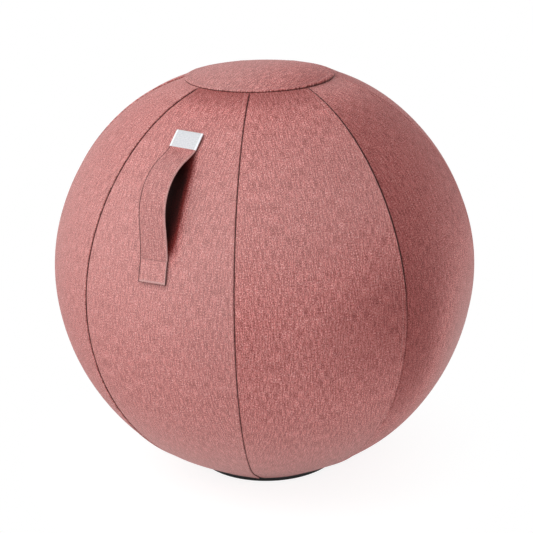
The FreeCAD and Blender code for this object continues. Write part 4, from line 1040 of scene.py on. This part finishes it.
def makeLabel():
    radius = ball["radius"] * 1000
    inner = radius + strap["offBall"] + strap["thick"] + label["offStrap"]
    half = (strap["lowerPolar"] - strap["upperPolar"]) / 2
    last = half + math.degrees(strap["upperPad"] / radius)
    points, uvs, edge = [], [], []
    w = label["width"] / 2
    for i in range(label["rows"] + 1):
        t = i / label["rows"]
        angle = math.radians(half + (last - half) * t)
        for k in range(label["columns"] + 1):
            s = k / label["columns"] * 2 - 1
            s = math.copysign(abs(s) ** 0.6, s)
            height = inner + label["thick"] + 0.1 * noise.noise(Vector((s * 1.6, t * 1.3, 4)))
            height -= 0.9 * max(0.0, abs(s) - 0.93) / 0.07 * 0.6
            askew = math.radians(label["skew"]) * (1 - s) * w / radius
            points.append(handleFrame @ Vector((mm(height * math.cos(angle + askew)), mm(s * w),
                                                mm(height * math.sin(angle + askew)))))
            uvs.append((mm(s * w), mm(t * strap["upperPad"])))
            edge.append(0.95 if abs(s) * w > w - label["band"] else 0.0)
    faces = gridFaces(label["rows"] + 1, label["columns"] + 1)
    piece = meshFrom("bareLabel", points, faces, satinMaterial, uvs, crease=edge)
    addWall(piece, mm(label["thick"]))
    onCover(piece, "label_satin", "handle_label")


makeLabel()
print("label made")


zipper = {
    "azimuth": 202.5, "top": 60.0, "bottom": 141.0, "tapeOut": 323.1, "tapeThick": 0.6,
    "split": 1.0, "coilIn": 323.35, "coilOut": 324.75, "coilWide": 2.4,
    "tail": 6.0, "stop": 3.0, "toothPitch": 1.45, "toothLean": 8,      # mm, and degrees
}


def onZip(radius, side, polar):
    # a point at a radius in mm, mm to one side of the zip's middle, at an angle from the top
    middle = around(math.radians(zipper["azimuth"]))
    across = Vector((0, 0, 1)).cross(middle)
    p = math.radians(polar)
    out = middle * math.sin(p) + Vector((0, 0, math.cos(p)))
    flat = math.sqrt(radius ** 2 - side ** 2)
    return out * mm(flat) + across * mm(side) + Vector((0, 0, centre)), out


def makeTape(name, side, node):
    points, uvs = [], []
    columns, count = [0.5, 1.4, 2.4, 3.4, 4.4, 5.5, 8.0, 11.0, 14.0], 160      # mm
    for i in range(count + 1):
        polar = zipper["top"] + (zipper["bottom"] - zipper["top"]) * i / count
        for x in columns:
            point, out = onZip(zipper["tapeOut"], side * x, polar)
            points.append(point)
            uvs.append((mm(x), mm(polar * 5.67)))
    piece = meshFrom(name, points, gridFaces(count + 1, len(columns)), tapeMaterial, uvs)
    work = bmesh.new()
    work.from_mesh(piece.data)
    work.faces.ensure_lookup_table()
    middle = work.faces[len(work.faces) // 2]
    middle.normal_update()
    if middle.normal.dot(middle.calc_center_median() - Vector((0, 0, centre))) < 0:
        bmesh.ops.reverse_faces(work, faces=work.faces)
    work.to_mesh(piece.data)
    work.free()
    addWall(piece, mm(zipper["tapeThick"]))
    onCover(piece, "zip_tape", node)


makeTape("zipTapeLeft", -1, "zip_tape_left")
makeTape("zipTapeRight", 1, "zip_tape_right")
toothShape = smallShape("oneTooth", (mm(0.5), mm(zipper["coilWide"] / 2), mm(0.68)), 10, 6, 0.6)


def makeCoil(name, side, node):
    skip = math.degrees((zipper["tail"] + zipper["stop"] + 1.0) / 325)
    first, last = zipper["top"] + skip, zipper["bottom"] - skip
    line = []
    for i in range(181):
        point, out = onZip((zipper["coilIn"] + zipper["coilOut"]) / 2,
                           side * (zipper["split"] / 2 + zipper["coilWide"] / 2),
                           first + (last - first) * i / 180)
        line.append((point, out))
    row = setRow(name, [line], toothShape, coilMaterial, mm(zipper["toothPitch"]), 0.0,
                 math.radians(zipper["toothLean"]) * side, seed=3)
    onCover(row, "zip_coil", node)


makeCoil("zipCoilLeft", -1, "zip_coil_left")
makeCoil("zipCoilRight", 1, "zip_coil_right")
print("zip made")

for node, material in (("zip_slider", zincMaterial), ("zip_pull", zincMaterial),
                       ("zip_top_stop", zincMaterial), ("zip_bottom_stop", zincMaterial),
                       ("air_ball", vinylMaterial), ("valve_seat", valveMaterial),
                       ("valve_plug", valveMaterial), ("ballast_ring", steelMaterial),
                       ("ring_channel", channelMaterial)):
    nodes[node].data.materials.clear()
    nodes[node].data.materials.append(material)


def makeStage():
    size = 9.0
    paper = newMaterial("studioPaper")
    corners = [(-size, -size, 0), (size, -size, 0), (size, size, 0), (-size, size, 0)]
    floor = meshFrom("studioFloor", corners, [(0, 1, 2, 3)], paper)
    rays = addNode(paper, "ShaderNodeLightPath")
    lit = addNode(paper, "ShaderNodeBsdfDiffuse", values={"Color": (0.93, 0.93, 0.93, 1)})
    seen = addNode(paper, "ShaderNodeBsdfDiffuse", values={"Color": (0.3, 0.3, 0.3, 1)})
    glow = addNode(paper, "ShaderNodeEmission", values={"Color": (1, 1, 1, 1), "Strength": 0.86})
    near = addNode(paper, "ShaderNodeAddShader", links=[(0, seen, "BSDF"), (1, glow, "Emission")])
    far = addNode(paper, "ShaderNodeEmission", values={"Color": (1, 1, 1, 1), "Strength": 1.0})
    # only the paper round the foot keeps its shadow; farther off it is burnt out to white
    place = addNode(paper, "ShaderNodeTexCoord")
    away = addNode(paper, "ShaderNodeVectorMath", {"operation": "LENGTH"},
                   links=[("Vector", place, "Object")])
    fade = addNode(paper, "ShaderNodeMapRange", {"interpolation_type": "SMOOTHSTEP"},
                   {"From Min": 0.14, "From Max": 0.42}, [("Value", away, "Value")])
    both = addNode(paper, "ShaderNodeMixShader",
                   links=[("Fac", fade, "Result"), (1, near, "Shader"), (2, far, "Emission")])
    straight = addNode(paper, "ShaderNodeMath", {"operation": "MAXIMUM"},
                       links=[(0, rays, "Is Camera Ray"), (1, rays, "Is Transmission Ray")])
    view = addNode(paper, "ShaderNodeMath", {"operation": "MAXIMUM"},
                   links=[(0, straight, "Value"), (1, rays, "Is Glossy Ray")])
    mixed = addNode(paper, "ShaderNodeMixShader",
                    links=[("Fac", view, "Value"), (1, lit, "BSDF"), (2, both, "Shader")])
    addNode(paper, "ShaderNodeOutputMaterial", links=[("Surface", mixed, "Shader")])
    world = bpy.data.worlds.new("studio")
    bpy.context.scene.world = world
    world.use_nodes = True
    world.node_tree.nodes.clear()
    path = addNode(world, "ShaderNodeLightPath")
    ambient = addNode(world, "ShaderNodeBackground",
                      values={"Color": (1, 0.98, 0.97, 1), "Strength": 0.40})
    backdrop = addNode(world, "ShaderNodeBackground",
                       values={"Color": (1, 1, 1, 1), "Strength": 1.0})
    through = addNode(world, "ShaderNodeMath", {"operation": "MAXIMUM"},
                      links=[(0, path, "Is Camera Ray"), (1, path, "Is Transmission Ray")])
    shown = addNode(world, "ShaderNodeMath", {"operation": "MAXIMUM"},
                    links=[(0, through, "Value"), (1, path, "Is Glossy Ray")])
    pick = addNode(world, "ShaderNodeMixShader",
                   links=[("Fac", shown, "Value"), (1, ambient, "Background"),
                          (2, backdrop, "Background")])
    addNode(world, "ShaderNodeOutputWorld", links=[("Surface", pick, "Shader")])


cameraView = {"azimuth": 30.15, "elevation": 19.4, "distance": 2.275, "roll": 1.4, "lens": 98.07,
              "aimRight": 0.0034, "aimUp": -0.0005}
lamps = {
    # name: azimuth and height in degrees round the ball, distance and side in metres, watts
    "keySoftbox": (-38, 42, 2.4, 1.4, 18.6, (1, 0.99, 0.98)),
    "frontSoftbox": (-2, 3, 2.4, 1.3, 13.0, (1, 0.99, 0.98)),
    "topSoftbox": (0, 68, 2.4, 1.3, 14.6, (1, 1, 1)),
    "edgeSoftbox": (110, -5, 2.4, 1.3, 18, (1, 1, 1)),
}


def toward(azimuth, elevation):
    a, e = math.radians(azimuth), math.radians(elevation)
    return Vector((math.sin(a) * math.cos(e), -math.cos(a) * math.cos(e), math.sin(e)))


def makeLamp(name, azimuth, elevation, distance, side, power, colour):
    light = bpy.data.lights.new(name, "AREA")
    light.shape = "SQUARE"
    light.size = side
    light.energy = power
    light.color = colour
    lamp = bpy.data.objects.new(name, light)
    bpy.context.scene.collection.objects.link(lamp)
    away = toward(azimuth, elevation)
    lamp.location = away * distance + Vector((0, 0, centre))
    lamp.rotation_euler = away.to_track_quat("Z", "Y").to_euler()


def makeCamera():
    middle = Vector((0, 0, centre))
    place = middle + toward(cameraView["azimuth"], cameraView["elevation"]) * cameraView["distance"]
    back = (place - middle).normalized()
    right = Vector((0, 0, 1)).cross(back).normalized()
    up = back.cross(right)
    aim = middle + right * cameraView["aimRight"] + up * cameraView["aimUp"]
    back = (place - aim).normalized()
    right = Vector((0, 0, 1)).cross(back).normalized()
    up = back.cross(right)
    roll = math.radians(cameraView["roll"])
    tilted = right * math.cos(roll) - up * math.sin(roll)
    above = up * math.cos(roll) + right * math.sin(roll)
    data = bpy.data.cameras.new("studioCamera")
    data.sensor_width = 36.0
    data.lens = cameraView["lens"]
    camera = bpy.data.objects.new("studioCamera", data)
    bpy.context.scene.collection.objects.link(camera)
    turn = Matrix((tilted, above, back)).transposed()
    camera.matrix_world = Matrix.Translation(place) @ turn.to_4x4()
    bpy.context.scene.camera = camera


makeStage()
for name, (azimuth, elevation, distance, side, power, colour) in lamps.items():
    makeLamp(name, azimuth, elevation, distance, side, power, colour)
makeCamera()
bpy.context.scene.view_settings.view_transform = "Standard"
print("stage set")
